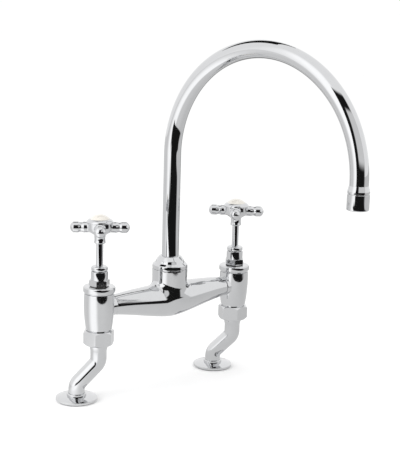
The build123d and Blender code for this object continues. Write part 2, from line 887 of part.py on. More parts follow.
def make_flange(side):
    """The round deck flange, gently domed, over a rubber gasket."""
    x, y = foot_of(side)
    with BuildPart() as flange:
        with BuildSketch(upright(x, y)):
            with BuildLine():
                Polyline(
                    (flange_bore, tail_collar_bottom),
                    (flange_bore, flange_bottom),
                    (flange_radius - edge_break, flange_bottom),
                    (flange_radius, flange_bottom + edge_break),
                    (flange_radius, flange_edge - edge_break),
                )
                Line((flange_radius, flange_edge - edge_break), (flange_radius - edge_break, flange_edge))
                RadiusArc(
                    (flange_radius - edge_break, flange_edge),
                    (tail_collar_radius, tail_collar_bottom),
                    -flange_dome_radius,
                )
                Line((tail_collar_radius, tail_collar_bottom), (flange_bore, tail_collar_bottom))
            make_face()
        revolve(axis=standing_axis(x, y))
    keep(flange, f"{side}_deck_flange")
    make_ring(f"{side}_deck_gasket", x, y, gasket_bore, gasket_radius, 0, flange_bottom)


def make_deck_fixings(side):
    """The washer and back nut below the deck."""
    x, y = foot_of(side)
    washer_bottom_height = back_washer_top - back_washer_thickness
    make_ring(
        f"{side}_back_washer", x, y, tail_radius + face_gap, back_washer_radius,
        washer_bottom_height, back_washer_top, edge_break,
    )
    make_hexagon_nut(
        f"{side}_back_nut", x, y, back_nut_radius, tail_radius + face_gap,
        washer_bottom_height - back_nut_height, washer_bottom_height, leg_angle[side], 2 * edge_break,
    )


make_bridge()
make_spout_cap()
make_ring(
    "spout_wear_ring", 0, 0, tube_radius + 2 * running, socket_bore - face_gap,
    bush_top + face_gap, cap_thread_bottom,
)
make_spout_bush()
make_spout_o_rings()
make_spout_tube()
make_outlet_ferrule()
make_nozzle()
make_aerator()
for side in sides:
    make_valve_body(side)
    make_seat(side)
    make_jumper(side)
    make_bonnet(side)
    make_gland(side)
    make_spindle(side)
    make_crosshead(side)
    make_handle_screw(side)
    make_button(side)
    make_union_nut(side)
    make_leg(side)
    make_tail(side)
    make_flange(side)
    make_deck_fixings(side)
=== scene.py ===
"""A deck-mounted bridge mixer in polished chrome and cream porcelain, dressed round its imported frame.

Sizes in the classes below are millimetres and angles are degrees, unless a note says otherwise.
A mesh becomes metres when its piece is made. In a list of corners, a third number is the radius that
rounds the corner.
"""

import json
import logging
import math
from collections.abc import Callable, Sequence
from dataclasses import dataclass, field
from enum import Enum

import bmesh
import bpy
import numpy as np
from mathutils import Matrix, Vector


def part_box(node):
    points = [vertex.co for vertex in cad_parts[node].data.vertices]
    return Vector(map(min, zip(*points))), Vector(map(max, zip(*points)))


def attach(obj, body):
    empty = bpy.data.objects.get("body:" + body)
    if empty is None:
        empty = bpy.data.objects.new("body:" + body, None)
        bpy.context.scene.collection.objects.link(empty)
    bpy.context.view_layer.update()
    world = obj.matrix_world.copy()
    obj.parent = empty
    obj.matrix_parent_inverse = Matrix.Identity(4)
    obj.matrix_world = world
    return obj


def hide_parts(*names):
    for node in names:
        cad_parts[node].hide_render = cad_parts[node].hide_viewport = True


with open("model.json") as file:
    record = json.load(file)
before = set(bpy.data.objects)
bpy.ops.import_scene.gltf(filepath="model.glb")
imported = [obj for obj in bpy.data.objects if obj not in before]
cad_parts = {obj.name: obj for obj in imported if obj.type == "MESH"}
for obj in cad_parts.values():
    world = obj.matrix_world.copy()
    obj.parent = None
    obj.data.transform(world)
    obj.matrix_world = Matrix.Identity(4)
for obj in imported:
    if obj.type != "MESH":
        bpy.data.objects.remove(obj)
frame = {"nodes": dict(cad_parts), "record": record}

LOG = logging.getLogger("bridge_mixer")
MM = 0.001

# Gaps between fitted pieces, and how far a tool or an inner form runs past the face that it has to pass
THREAD_GAP = 0.05
SLIDING_GAP = 0.06
PAST = 1.0

Profile = list[tuple[float, float]]
Corners = Sequence[tuple[float, ...]]
Field = Callable[[np.ndarray], np.ndarray]
Edge = tuple[float, float]
Band = tuple[float, float, float]
Place = tuple[float, float, float]


class Side(Enum):
    """The two sides of the mixer, as the user sees them."""

    LEFT = "left"
    RIGHT = "right"


class Body(Enum):
    """The rigid bodies of the frame that do not belong to a side."""

    MIXER = "mixer_body"
    SPOUT = "spout"


# Objects


def linked(name: str, data: bpy.types.ID) -> bpy.types.Object:
    """A new object in the scene that holds a mesh, a curve, a light or a camera."""
    obj = bpy.data.objects.new(name, data)
    bpy.context.scene.collection.objects.link(obj)
    return obj


def evaluated(obj: bpy.types.Object) -> bpy.types.Mesh:
    """A new mesh of an object as its modifiers leave it."""
    bpy.context.view_layer.update()
    graph = bpy.context.evaluated_depsgraph_get()
    return bpy.data.meshes.new_from_object(obj.evaluated_get(graph))


def turned_outwards(mesh: bpy.types.Mesh, *others: bpy.types.Mesh) -> bpy.types.Mesh:
    """The mesh, with the faces of others added and all faces turned outwards."""
    work = bmesh.new()
    for part in (mesh, *others):
        work.from_mesh(part)
    bmesh.ops.recalc_face_normals(work, faces=work.faces)
    work.to_mesh(mesh)
    work.free()
    return mesh


# Shader and geometry graphs


class Wire:
    """One output socket of a graph, with Python's arithmetic."""

    def __init__(self, graph: "Graph", socket: bpy.types.NodeSocket) -> None:
        """Wrap a socket.

        Args:
            graph: The graph that the socket's node is in.
            socket: The output socket.
        """
        self.graph = graph
        self.socket = socket

    def _maths(self, operation: str, first: object, second: object) -> "Wire":
        """Add a Math node on two values."""
        return self.graph.node("ShaderNodeMath", {"operation": operation}, {0: first, 1: second})

    def __add__(self, other: object) -> "Wire":
        """Add a number or another wire."""
        return self._maths("ADD", self, other)

    __radd__ = __add__

    def __mul__(self, other: object) -> "Wire":
        """Multiply by a number or another wire."""
        return self._maths("MULTIPLY", self, other)

    __rmul__ = __mul__

    def __sub__(self, other: object) -> "Wire":
        """Subtract a number or another wire."""
        return self._maths("SUBTRACT", self, other)

    def __rsub__(self, other: object) -> "Wire":
        """Subtract this wire from a number."""
        return self._maths("SUBTRACT", other, self)

    def __truediv__(self, other: object) -> "Wire":
        """Divide by a number or another wire."""
        return self._maths("DIVIDE", self, other)

    def __pow__(self, other: object) -> "Wire":
        """Raise to a power."""
        return self._maths("POWER", self, other)


class Graph:
    """A node tree that is written as expressions."""

    def __init__(self, tree: bpy.types.NodeTree) -> None:
        """Take an empty node tree."""
        self.tree = tree

    @staticmethod
    def of_material(name: str) -> tuple[bpy.types.Material, "Graph"]:
        """A new material and its empty graph."""
        material = bpy.data.materials.new(name)
        material.use_nodes = True
        material.node_tree.nodes.clear()
        return material, Graph(material.node_tree)

    def node(
        self,
        kind: str,
        settings: dict[str, object] | None = None,
        sockets: dict[int | str, object] | None = None,
        output: int | str = 0,
    ) -> Wire:
        """Add one node.

        Args:
            kind: Blender's name for the node's type.
            settings: Properties set before the sockets; stops are a colour ramp's stops.
            sockets: Values or wires for the inputs, by name or number.
            output: The output that the returned wire stands for.

        Returns:
            A wire on the chosen output.
        """
        node = self.tree.nodes.new(kind)
        for name, value in (settings or {}).items():
            if name == "stops":
                ramp = node.color_ramp
                while len(ramp.elements) < len(value):
                    ramp.elements.new(1.0)
                for element, (position, colour) in zip(ramp.elements, value):
                    element.position = position
                    element.color = colour
            else:
                setattr(node, name, value)
        for name, value in (sockets or {}).items():
            self.feed(node.inputs[name], value)
        outputs = [s for s in node.outputs if s.enabled] if isinstance(output, int) else node.outputs
        return Wire(self, outputs[output]) if len(node.outputs) else Wire(self, None)

    def feed(self, socket: bpy.types.NodeSocket, value: object) -> None:
        """Link a wire to an input, or set the input's own value."""
        if isinstance(value, Wire):
            self.tree.links.new(value.socket, socket)
        else:
            socket.default_value = value


# Finishes


@dataclass(frozen=True)
class Finish:
    """A plain finish that the others build on.

    Attributes:
        name: The material's name.
        slot: The record's material slot.
        colour: Base colour, linear.
        metallic: 1 for bare metal, 0 for the rest.
        roughness: Mean roughness.
        roughness_spread: How far smudges raise the roughness.
        coat: Weight of the clear coat.
        grain_size: Size of the surface's grain in millimetres.
        grain_depth: Depth of that grain in millimetres.
        tint_spread: How far the colour varies.
        blotch_size: Size of the patches in which it varies, in millimetres.
        smudge_size: Size of the patches in which the roughness varies, in millimetres.
        least_roughness: The roughness that no smudge goes under.
        coat_roughness: Roughness of the clear coat.
    """

    name: str
    slot: str
    colour: tuple[float, float, float]
    metallic: float = 0.0
    roughness: float = 0.4
    roughness_spread: float = 0.1
    coat: float = 0.0
    grain_size: float = 1.0
    grain_depth: float = 0.01
    tint_spread: float = 0.05
    blotch_size: float = 9.0
    smudge_size: float = 14.0
    least_roughness: float = 0.015
    coat_roughness: float = 0.03

    def noise(self, graph: Graph, size: float, detail: float = 3.0, roughness: float = 0.55) -> Wire:
        """Noise from 0 to 1 on the object's own coordinates, with features of a size in millimetres."""
        place = graph.node("ShaderNodeTexCoord", output="Object")
        sockets = {"Vector": place, "Scale": 1.0 / (size * MM), "Detail": detail, "Roughness": roughness}
        return graph.node("ShaderNodeTexNoise", {"noise_dimensions": "3D"}, sockets, output=0)

    def height(self, graph: Graph) -> Wire:
        """The surface's relief, from 0 to 1."""
        return self.noise(graph, self.grain_size)

    def tint(self, graph: Graph) -> Wire:
        """The colour over the surface."""
        low = tuple(c * (1 - self.tint_spread) for c in self.colour) + (1.0,)
        high = tuple(min(c * (1 + self.tint_spread), 1.0) for c in self.colour) + (1.0,)
        blotch = self.noise(graph, self.blotch_size)
        return graph.node("ShaderNodeValToRGB", {"stops": [(0.3, low), (0.7, high)]}, {"Fac": blotch})

    def material(self) -> bpy.types.Material:
        """Build the material, or return it if it was built before."""
        if self.name in bpy.data.materials:
            return bpy.data.materials[self.name]
        material, graph = Graph.of_material(self.name)
        smudge = self.noise(graph, self.smudge_size, detail=4.0)
        rough = (smudge - 0.45) * (2.0 * self.roughness_spread) + self.roughness
        limits = {"Value": rough, "Min": self.least_roughness, "Max": 1.0}
        sockets = {
            "Base Color": self.tint(graph),
            "Metallic": self.metallic,
            "Roughness": graph.node("ShaderNodeClamp", {}, limits),
            "Coat Weight": self.coat,
            "Coat Roughness": self.coat_roughness,
        }
        if self.grain_depth > 0:
            bump_sockets = {"Height": self.height(graph), "Distance": self.grain_depth * MM, "Strength": 1.0}
            sockets["Normal"] = graph.node("ShaderNodeBump", {}, bump_sockets)
        shader = graph.node("ShaderNodeBsdfPrincipled", {}, sockets)
        graph.node("ShaderNodeOutputMaterial", {}, {"Surface": shader})
        return material


@dataclass(frozen=True)
class Turned(Finish):
    """Metal left from the lathe, with fine grooves across its axis."""

    groove_pitch: float = 0.35

    def height(self, graph: Graph) -> Wire:
        """Fine level grooves, broken up by noise."""
        place = graph.node("ShaderNodeTexCoord", output="Object")
        settings = {"wave_type": "BANDS", "bands_direction": "Z"}
        sockets = {"Vector": place, "Scale": 1.0 / (self.groove_pitch * MM) / 20.0, "Distortion": 0.3}
        return graph.node("ShaderNodeTexWave", settings, sockets, output="Fac")


CHROME = Finish(
    "chrome_plate", "chrome", (0.62, 0.625, 0.635), metallic=1.0, roughness=0.045, roughness_spread=0.02,
    grain_size=9.0, grain_depth=0.012, tint_spread=0.012,
)
TUBE_CHROME = Finish(
    "tube_chrome", "chrome", (0.62, 0.625, 0.635), metallic=1.0, roughness=0.035, roughness_spread=0.015,
    grain_size=26.0, grain_depth=0.006, tint_spread=0.012,
)
PORCELAIN = Finish(
    "cream_porcelain", "porcelain", (0.70, 0.668, 0.61), roughness=0.16, roughness_spread=0.04, coat=1.0,
    grain_size=5.0, grain_depth=0.01, tint_spread=0.03,
)
BRASS = Turned(
    "turned_brass", "brass", (0.74, 0.55, 0.26), metallic=1.0, roughness=0.26, roughness_spread=0.1,
    grain_depth=0.01, tint_spread=0.1,
)
STEEL = Turned(
    "plain_steel", "steel", (0.56, 0.57, 0.58), metallic=1.0, roughness=0.32, roughness_spread=0.1,
    grain_depth=0.008, tint_spread=0.06,
)
RUBBER = Finish(
    "black_rubber", "rubber", (0.022, 0.022, 0.023), roughness=0.62, roughness_spread=0.12,
    grain_size=0.5, grain_depth=0.02, tint_spread=0.25,
)
FIBRE = Finish(
    "grey_fibre", "fibre", (0.06, 0.057, 0.055), roughness=0.75, roughness_spread=0.15,
    grain_size=0.4, grain_depth=0.04, tint_spread=0.25,
)
PLASTIC = Finish(
    "white_plastic", "plastic", (0.82, 0.82, 0.80), roughness=0.38, roughness_spread=0.08,
    grain_size=1.2, grain_depth=0.008, tint_spread=0.03,
)


# Meshes


@dataclass
class Solid:
    """Points in millimetres and the faces between them.

    Attributes:
        points: One row of x, y and z for each point.
        faces: Point numbers of each face, in order round it.
    """

    points: np.ndarray
    faces: list[tuple[int, ...]]

    def moved(self, x: float, y: float, z: float = 0.0) -> "Solid":
        """A copy shifted by x, y and z."""
        return Solid(self.points + np.array([x, y, z]), self.faces)

    def mapped(self, matrix: Matrix) -> "Solid":
        """A copy turned by a rotation matrix."""
        return Solid(self.points @ np.array(matrix.to_3x3()).T, self.faces)

    def lying(self, towards: int = 1) -> "Solid":
        """A copy whose upright axis points along x, or against x for -1."""
        return self.mapped(Matrix.Rotation(math.radians(90 * towards), 4, "Y"))

    def joined(self, other: "Solid") -> "Solid":
        """Both solids as the shells of one."""
        shift = len(self.points)
        faces = self.faces + [tuple(i + shift for i in f) for f in other.faces]
        return Solid(np.vstack([self.points, other.points]), faces)

    def mesh(self, name: str) -> bpy.types.Mesh:
        """The mesh in metres, with its faces turned outwards."""
        mesh = bpy.data.meshes.new(name)
        mesh.from_pydata((self.points * MM).tolist(), [], self.faces)
        return turned_outwards(mesh)


class Outline:
    """Helpers that turn a few corners into a smooth outline."""

    @staticmethod
    def rounded(corners: Corners, closed: bool = False, steps: int = 7) -> Profile:
        """Replace corners by arcs.

        Args:
            corners: Points of two numbers, or three where the third is the arc's radius.
            closed: Whether the last corner runs on to the first.
            steps: Points along each arc.

        Returns:
            The outline's points.
        """
        outline: Profile = []
        count = len(corners)
        for index, corner in enumerate(corners):
            here = Vector(corner[:2])
            radius = corner[2] if len(corner) > 2 else 0.0
            if radius <= 0 or (not closed and index in (0, count - 1)):
                outline.append((here.x, here.y))
                continue
            back = (Vector(corners[index - 1][:2]) - here).normalized()
            ahead = (Vector(corners[(index + 1) % count][:2]) - here).normalized()
            half = back.angle(ahead) / 2
            reach = radius / math.tan(half)
            centre = here + (back + ahead).normalized() * (radius / math.sin(half))
            start = here + back * reach - centre
            end = here + ahead * reach - centre
            sweep = start.angle_signed(end)
            for step in range(steps + 1):
                spoke = start.copy()
                spoke.rotate(Matrix.Rotation(-sweep * step / steps, 2))
                outline.append((centre.x + spoke.x, centre.y + spoke.y))
        return outline

    @staticmethod
    def arc(start: Vector, end: Vector, radius: float, steps: int = 16) -> Profile:
        """An arc that bulges away from the axis and upwards, from an outer point to an inner one."""
        middle = (start + end) / 2
        chord = end - start
        inwards = Vector((-chord.y, chord.x)).normalized()
        centre = middle + inwards * math.sqrt(max(radius**2 - (chord.length / 2) ** 2, 0))
        first = start - centre
        sweep = first.angle_signed(end - centre)
        line: Profile = []
        for step in range(steps + 1):
            spoke = first.copy()
            spoke.rotate(Matrix.Rotation(-sweep * step / steps, 2))
            line.append((max(centre.x + spoke.x, 0.0), centre.y + spoke.y))
        return line

    @staticmethod
    def curve(knots: Profile, steps: int = 8) -> Profile:
        """A smooth curve through a few points, as a Catmull-Rom spline."""
        padded = [knots[0]] + list(knots) + [knots[-1]]
        line: Profile = []
        for i in range(len(knots) - 1):
            p0, p1, p2, p3 = (Vector(p) for p in padded[i:i + 4])
            for step in range(steps):
                t = step / steps
                point = 0.5 * (
                    2 * p1 + (p2 - p0) * t + (2 * p0 - 5 * p1 + 4 * p2 - p3) * t**2
                    + (3 * p1 - p0 - 3 * p2 + p3) * t**3
                )
                line.append((point.x, point.y))
        line.append(tuple(knots[-1]))
        return line


class Turning:
    """Solids of revolution and of extrusion."""

    @staticmethod
    def lathe(profile: Profile, segments: int = 128, closed: bool = False) -> Solid:
        """Turn a profile of radius and height round the vertical axis.

        Args:
            profile: Points of radius and height; an open profile begins and ends on the axis.
            segments: Steps round the axis.
            closed: Whether the profile is a loop, as for a ring.

        Returns:
            The closed solid.
        """
        turns = np.arange(segments) * (2 * math.pi / segments)
        points: list[tuple[float, float, float]] = []
        rows: list[list[int]] = []
        for radius, height in profile:
            if radius < 1e-6:
                rows.append([len(points)] * segments)
                points.append((0.0, 0.0, height))
            else:
                rows.append(list(range(len(points), len(points) + segments)))
                points.extend((radius * math.cos(a), radius * math.sin(a), height) for a in turns)
        pairs = list(zip(rows, rows[1:]))
        if closed:
            pairs.append((rows[-1], rows[0]))
        faces: list[tuple[int, ...]] = []
        for low, high in pairs:
            for i in range(segments):
                j = (i + 1) % segments
                ring = [low[i], low[j], high[j], high[i]]
                corners = tuple(dict.fromkeys(ring))
                if len(corners) > 2:
                    faces.append(corners)
        return Solid(np.array(points), faces)

    @staticmethod
    def stack(bottom: float, steps: Profile, segments: int) -> Solid:
        """Plain cylinders on top of each other, as for a drill with steps.

        Args:
            bottom: Height of the lowest face.
            steps: Radius and top height of each cylinder, from the bottom up.
            segments: Steps round the axis.

        Returns:
            The closed solid.
        """
        profile = [(0.0, bottom)]
        for radius, top in steps:
            profile += [(radius, profile[-1][1]), (radius, top)]
        return Turning.lathe(profile + [(0.0, profile[-1][1])], segments)

    @staticmethod
    def ring(corners: Corners, segments: int = 128, steps: int = 7) -> Solid:
        """A closed ring turned from rounded corners.

        Args:
            corners: Radius, height and, where a corner is rounded, the arc's radius.
            segments: Steps round the axis.
            steps: Points along each arc.

        Returns:
            The closed solid.
        """
        return Turning.lathe(Outline.rounded(corners, closed=True, steps=steps), segments, closed=True)

    @staticmethod
    def hexagon(corner_radius: float, turn: float, bottom: float, top: float, edge: float = 0.45) -> Solid:
        """A six-sided prism with slightly rounded upright edges."""
        corners = []
        for i in range(6):
            a = math.radians(turn + 60 * i)
            corners.append((corner_radius * math.cos(a), corner_radius * math.sin(a), edge))
        ring = Outline.rounded(corners, closed=True, steps=4)
        count = len(ring)
        points = [(x, y, z) for z in (bottom, top) for x, y in ring]
        following = [(i + 1) % count for i in range(count)]
        faces: list[tuple[int, ...]] = [(i, j, count + j, count + i) for i, j in enumerate(following)]
        faces.append(tuple(range(count - 1, -1, -1)))
        faces.append(tuple(range(count, 2 * count)))
        return Solid(np.array(points), faces)


class Carving:
    """Operations on Blender objects that end in one plain mesh."""

    @staticmethod
    def object_of(solid: Solid, name: str) -> bpy.types.Object:
        """A new object in the scene that holds the solid."""
        return linked(name, solid.mesh(name))

    @staticmethod
    def applied(obj: bpy.types.Object) -> bpy.types.Object:
        """Bake an object's modifiers into its mesh and remove them."""
        mesh = evaluated(obj)
        obj.modifiers.clear()
        obj.data = mesh
        return obj

    @staticmethod
    def combine(obj: bpy.types.Object, other: Solid, operation: str) -> bpy.types.Object:
        """Unite, cut or intersect an object with a solid."""
        tool = Carving.object_of(other, obj.name + "_tool")
        step = obj.modifiers.new("combine", "BOOLEAN")
        step.operation = operation
        step.solver = "EXACT"
        step.object = tool
        Carving.applied(obj)
        bpy.data.objects.remove(tool)
        return obj


@dataclass
class Piece:
    """One visible piece, ready to ride on its body.

    Attributes:
        name: The piece's name.
        body: The frame body that carries it.
        finish: Its finish.
        stands_for: The frame nodes that it replaces.
        crease: The angle in degrees past which an edge stays sharp.
    """

    name: str
    body: str
    finish: Finish
    stands_for: tuple[str, ...] = ()
    crease: float = 32.0

    def finish_object(self, obj: bpy.types.Object) -> bpy.types.Object:
        """Shade, paint and attach an object.

        Args:
            obj: The object at the origin with its place in its mesh.

        Returns:
            The same object.
        """
        obj.name = self.name
        obj.data.name = self.name
        obj.data.materials.clear()
        obj.data.materials.append(self.finish.material())
        obj.data.polygons.foreach_set("use_smooth", [True] * len(obj.data.polygons))
        obj.data.polygons.foreach_set("material_index", [0] * len(obj.data.polygons))
        obj.data.set_sharp_from_angle(angle=math.radians(self.crease))
        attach(obj, self.body)
        if self.stands_for:
            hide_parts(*self.stands_for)
        self.report(obj)
        return obj

    def make(self, solid: Solid) -> bpy.types.Object:
        """Make the piece from a solid."""
        return self.finish_object(Carving.object_of(solid, self.name))

    def report(self, obj: bpy.types.Object) -> None:
        """Log the piece's size and how far it stands from the nodes that it replaces."""
        corners = np.array([v.co for v in obj.data.vertices])
        low, high = corners.min(0), corners.max(0)
        note = ""
        if self.stands_for:
            boxes = [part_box(n) for n in self.stands_for]
            node_low = np.min([b[0] for b in boxes], axis=0)
            node_high = np.max([b[1] for b in boxes], axis=0)
            gap = max(np.abs(node_low - low).max(), np.abs(node_high - high).max())
            note = f", box within {gap / MM:.2f} mm of its nodes"
        LOG.info("%s: %d faces%s", self.name, len(obj.data.polygons), note)


# Smoothly blended castings


class Casting:
    """A casting whose forms run into each other with small fillets."""

    @staticmethod
    def outline_distance(first: np.ndarray, second: np.ndarray, outline: Profile) -> np.ndarray:
        """Signed distance of points in a plane to a closed outline, negative inside."""
        best = np.full(first.shape, np.inf)
        inside = np.zeros(first.shape, bool)
        for (ax, ay), (bx, by) in zip(outline, outline[1:] + outline[:1]):
            ex, ey = bx - ax, by - ay
            length = ex * ex + ey * ey
            if length < 1e-12:
                continue
            wx, wy = first - ax, second - ay
            share = np.clip((wx * ex + wy * ey) / length, 0, 1)
            best = np.minimum(best, np.hypot(wx - share * ex, wy - share * ey))
            crosses = (ay > second) != (by > second)
            with np.errstate(divide="ignore", invalid="ignore"):
                edge_x = ax + (second - ay) * ex / (ey if ey else 1e-12)
            inside ^= crosses & (first < edge_x)
        return np.where(inside, -best, best)

    @staticmethod
    def turned_distance(across: np.ndarray, along: np.ndarray, half: Profile) -> np.ndarray:
        """Signed distance to the solid that a half section makes when it is turned round its axis.

        Args:
            across: Distances of the points from the axis.
            along: Their places along it.
            half: The half section, as distance from the axis and place along it.

        Returns:
            The distances, negative inside.
        """
        whole = half + [(-r, h) for r, h in reversed(half) if r > 1e-6]
        return Casting.outline_distance(across, along, whole)

    @staticmethod
    def blend(first: np.ndarray, second: np.ndarray, radius: float) -> np.ndarray:
        """Smooth union of two distance fields, with a fillet of about the radius."""
        share = np.clip(0.5 + 0.5 * (second - first) / radius, 0, 1)
        return second + (first - second) * share - radius * share * (1 - share)

    @staticmethod
    def settle(points: np.ndarray, distance: Field, rounds: int = 4) -> np.ndarray:
        """Move points on to the surface where a field is zero."""
        step = 0.02
        for _ in range(rounds):
            value = distance(points)
            slope = np.empty_like(points)
            for axis in range(3):
                nudge = np.zeros(3)
                nudge[axis] = step
                slope[:, axis] = (distance(points + nudge) - distance(points - nudge)) / (2 * step)
            size = np.maximum((slope**2).sum(1), 0.05)
            move = slope * (np.clip(value, -1.0, 1.0) / size)[:, None]
            points = points - move
        return points

    @staticmethod
    def skin(name: str, rough: Solid, distance: Field, voxel: float) -> bpy.types.Object:
        """Cast overlapping solids into one skin and settle it on a field.

        Args:
            name: The object's name.
            rough: Overlapping closed shells near the final form.
            distance: The field whose zero is the final surface, in millimetres.
            voxel: The size of the skin's faces in millimetres.

        Returns:
            The object that holds the skin.
        """
        obj = Carving.object_of(rough, name)
        remesh = obj.modifiers.new("remesh", "REMESH")
        remesh.mode = "VOXEL"
        remesh.voxel_size = voxel * MM
        remesh.adaptivity = 0.0
        Carving.applied(obj)
        count = len(obj.data.vertices)
        flat = np.empty(count * 3)
        obj.data.vertices.foreach_get("co", flat)
        points = Casting.settle(flat.reshape(-1, 3) / MM, distance)
        obj.data.vertices.foreach_set("co", (points * MM).ravel())
        obj.data.update()
        return obj


# Geometry Nodes


class GeometryTree:
    """A Geometry Nodes tree that is built in code and run on one object."""

    def __init__(self, name: str, sizes: dict[str, float]) -> None:
        """Start a tree with a geometry input, named sizes and a material.

        Args:
            name: The tree's name.
            sizes: Named inputs and their values.
        """
        self.tree = bpy.data.node_groups.new(name, "GeometryNodeTree")
        self.sizes = sizes
        face = self.tree.interface
        face.new_socket("Geometry", in_out="INPUT", socket_type="NodeSocketGeometry")
        for label in sizes:
            kind = "NodeSocketInt" if isinstance(sizes[label], int) else "NodeSocketFloat"
            face.new_socket(label, in_out="INPUT", socket_type=kind)
        face.new_socket("Material", in_out="INPUT", socket_type="NodeSocketMaterial")
        face.new_socket("Geometry", in_out="OUTPUT", socket_type="NodeSocketGeometry")
        self.graph = Graph(self.tree)
        self.entry = self.tree.nodes.new("NodeGroupInput")

    def given(self, label: str) -> Wire:
        """The wire of a named input."""
        return Wire(self.graph, self.entry.outputs[label])

    def finish(self, geometry: Wire) -> None:
        """End the tree in real meshes with the given material."""
        real = self.graph.node("GeometryNodeRealizeInstances", {}, {0: geometry})
        sockets = {"Geometry": real, "Material": self.given("Material")}
        painted = self.graph.node("GeometryNodeSetMaterial", {}, sockets)
        self.graph.node("NodeGroupOutput", {}, {0: painted})

    def run(self, obj: bpy.types.Object, finish: Finish) -> bpy.types.Object:
        """Run the tree on an object and leave a plain mesh object.

        Args:
            obj: A mesh or curve object in the scene; it is removed.
            finish: The finish handed to the tree.

        Returns:
            A new object with the tree's result.
        """
        step = obj.modifiers.new(self.tree.name, "NODES")
        step.node_group = self.tree
        for item in self.tree.interface.items_tree:
            if item.in_out == "INPUT" and item.name in self.sizes:
                step[item.identifier] = self.sizes[item.name]
            elif item.in_out == "INPUT" and item.name == "Material":
                step[item.identifier] = finish.material()
        result = linked(self.tree.name, evaluated(obj))
        bpy.data.objects.remove(obj)
        return result

    def grown(self, finish: Finish) -> bpy.types.Object:
        """Run a tree that needs no input mesh."""
        return self.run(linked("seed", bpy.data.meshes.new("seed")), finish)


@dataclass
class Pipe:
    """A bent pipe along a path, swept by Geometry Nodes.

    Attributes:
        radius: Outer radius.
        bore: Inner radius.
        sides: Faces round the pipe.
    """

    radius: float
    bore: float
    sides: int = 96

    def tree(self) -> GeometryTree:
        """The tree that sweeps an outer and an inner skin along a curve."""
        sizes = {"Outer radius": self.radius * MM, "Bore radius": self.bore * MM, "Sides": self.sides}
        made = GeometryTree("pipe", sizes)
        skins = []
        for label in ("Outer radius", "Bore radius"):
            ring = made.graph.node(
                "GeometryNodeCurvePrimitiveCircle", {"mode": "RADIUS"},
                {"Resolution": made.given("Sides"), "Radius": made.given(label)},
            )
            sweep = {"Curve": made.given("Geometry"), "Profile Curve": ring, "Fill Caps": False}
            skins.append(made.graph.node("GeometryNodeCurveToMesh", {}, sweep))
        both = made.graph.node("GeometryNodeJoinGeometry")
        join = both.socket.node
        for skin in reversed(skins):
            made.tree.links.new(skin.socket, join.inputs[0])
        made.finish(both)
        return made

    def along(self, path: Sequence[Vector], finish: Finish) -> bpy.types.Object:
        """Sweep the pipe along a path and close its two ends.

        Args:
            path: Points of the centre line in millimetres.
            finish: The pipe's finish.

        Returns:
            The object that holds the closed pipe.
        """
        curve = bpy.data.curves.new("path", "CURVE")
        curve.dimensions = "3D"
        spline = curve.splines.new("POLY")
        spline.points.add(len(path) - 1)
        for point, place in zip(spline.points, path):
            point.co = (*(place * MM), 1.0)
        pipe = self.tree().run(linked("path", curve), finish)
        work = bmesh.new()
        work.from_mesh(pipe.data)
        rims = [e for e in work.edges if e.is_boundary]
        for end in (path[0], path[-1]):
            near = [e for e in rims if (e.verts[0].co / MM - end).length < 2 * self.radius]
            bmesh.ops.bridge_loops(work, edges=near)
        work.to_mesh(pipe.data)
        work.free()
        turned_outwards(pipe.data)
        return pipe


@dataclass
class Thread:
    """A screw thread's ridge, swept round a cylinder by Geometry Nodes.

    Attributes:
        crest: Radius at the crest.
        root: Radius at the root.
        pitch: Rise in one turn.
        bottom: Height where the ridge begins.
        top: Height where it ends.
        sunk: How far the ridge's foot lies under the root.
        half_width: Half the width of the ridge's foot, as a share of the pitch.
        crest_share: Width of the crest, as a share of that half width.
        steps: Points in one turn.
    """

    crest: float
    root: float
    pitch: float
    bottom: float
    top: float
    sunk: float = 0.1
    half_width: float = 0.42
    crest_share: float = 0.35
    steps: int = 40

    def ridge(self, finish: Finish) -> bpy.types.Object:
        """The helical ridge as a closed mesh round the vertical axis through the origin."""
        rise = self.top - self.bottom
        foot = self.root - self.sunk
        sizes = {
            "Turns": rise / self.pitch, "Rise": rise * MM,
            "Radius": foot * MM, "Depth": (self.crest - foot) * MM,
            "Half width": self.pitch * self.half_width * MM, "Crest share": self.crest_share,
            "Steps per turn": self.steps,
        }
        made = GeometryTree("thread", sizes)
        graph = made.graph
        helix = graph.node(
            "GeometryNodeCurveSpiral", {},
            {
                "Resolution": made.given("Steps per turn"), "Rotations": made.given("Turns"),
                "Start Radius": made.given("Radius"), "End Radius": made.given("Radius"),
                "Height": made.given("Rise"),
            },
        )
        tooth = graph.node(
            "GeometryNodeCurvePrimitiveQuadrilateral", {"mode": "TRAPEZOID"},
            {
                "Height": made.given("Depth"), "Bottom Width": made.given("Half width") * 2.0,
                "Top Width": made.given("Half width") * made.given("Crest share"), "Offset": 0.0,
            },
        )
        upright = graph.node("GeometryNodeSetCurveNormal", {"mode": "Z_UP"}, {"Curve": helix})
        sweep = {"Curve": upright, "Profile Curve": tooth, "Fill Caps": True}
        made.finish(graph.node("GeometryNodeCurveToMesh", {}, sweep))
        return made.grown(finish)


# Sub-assemblies


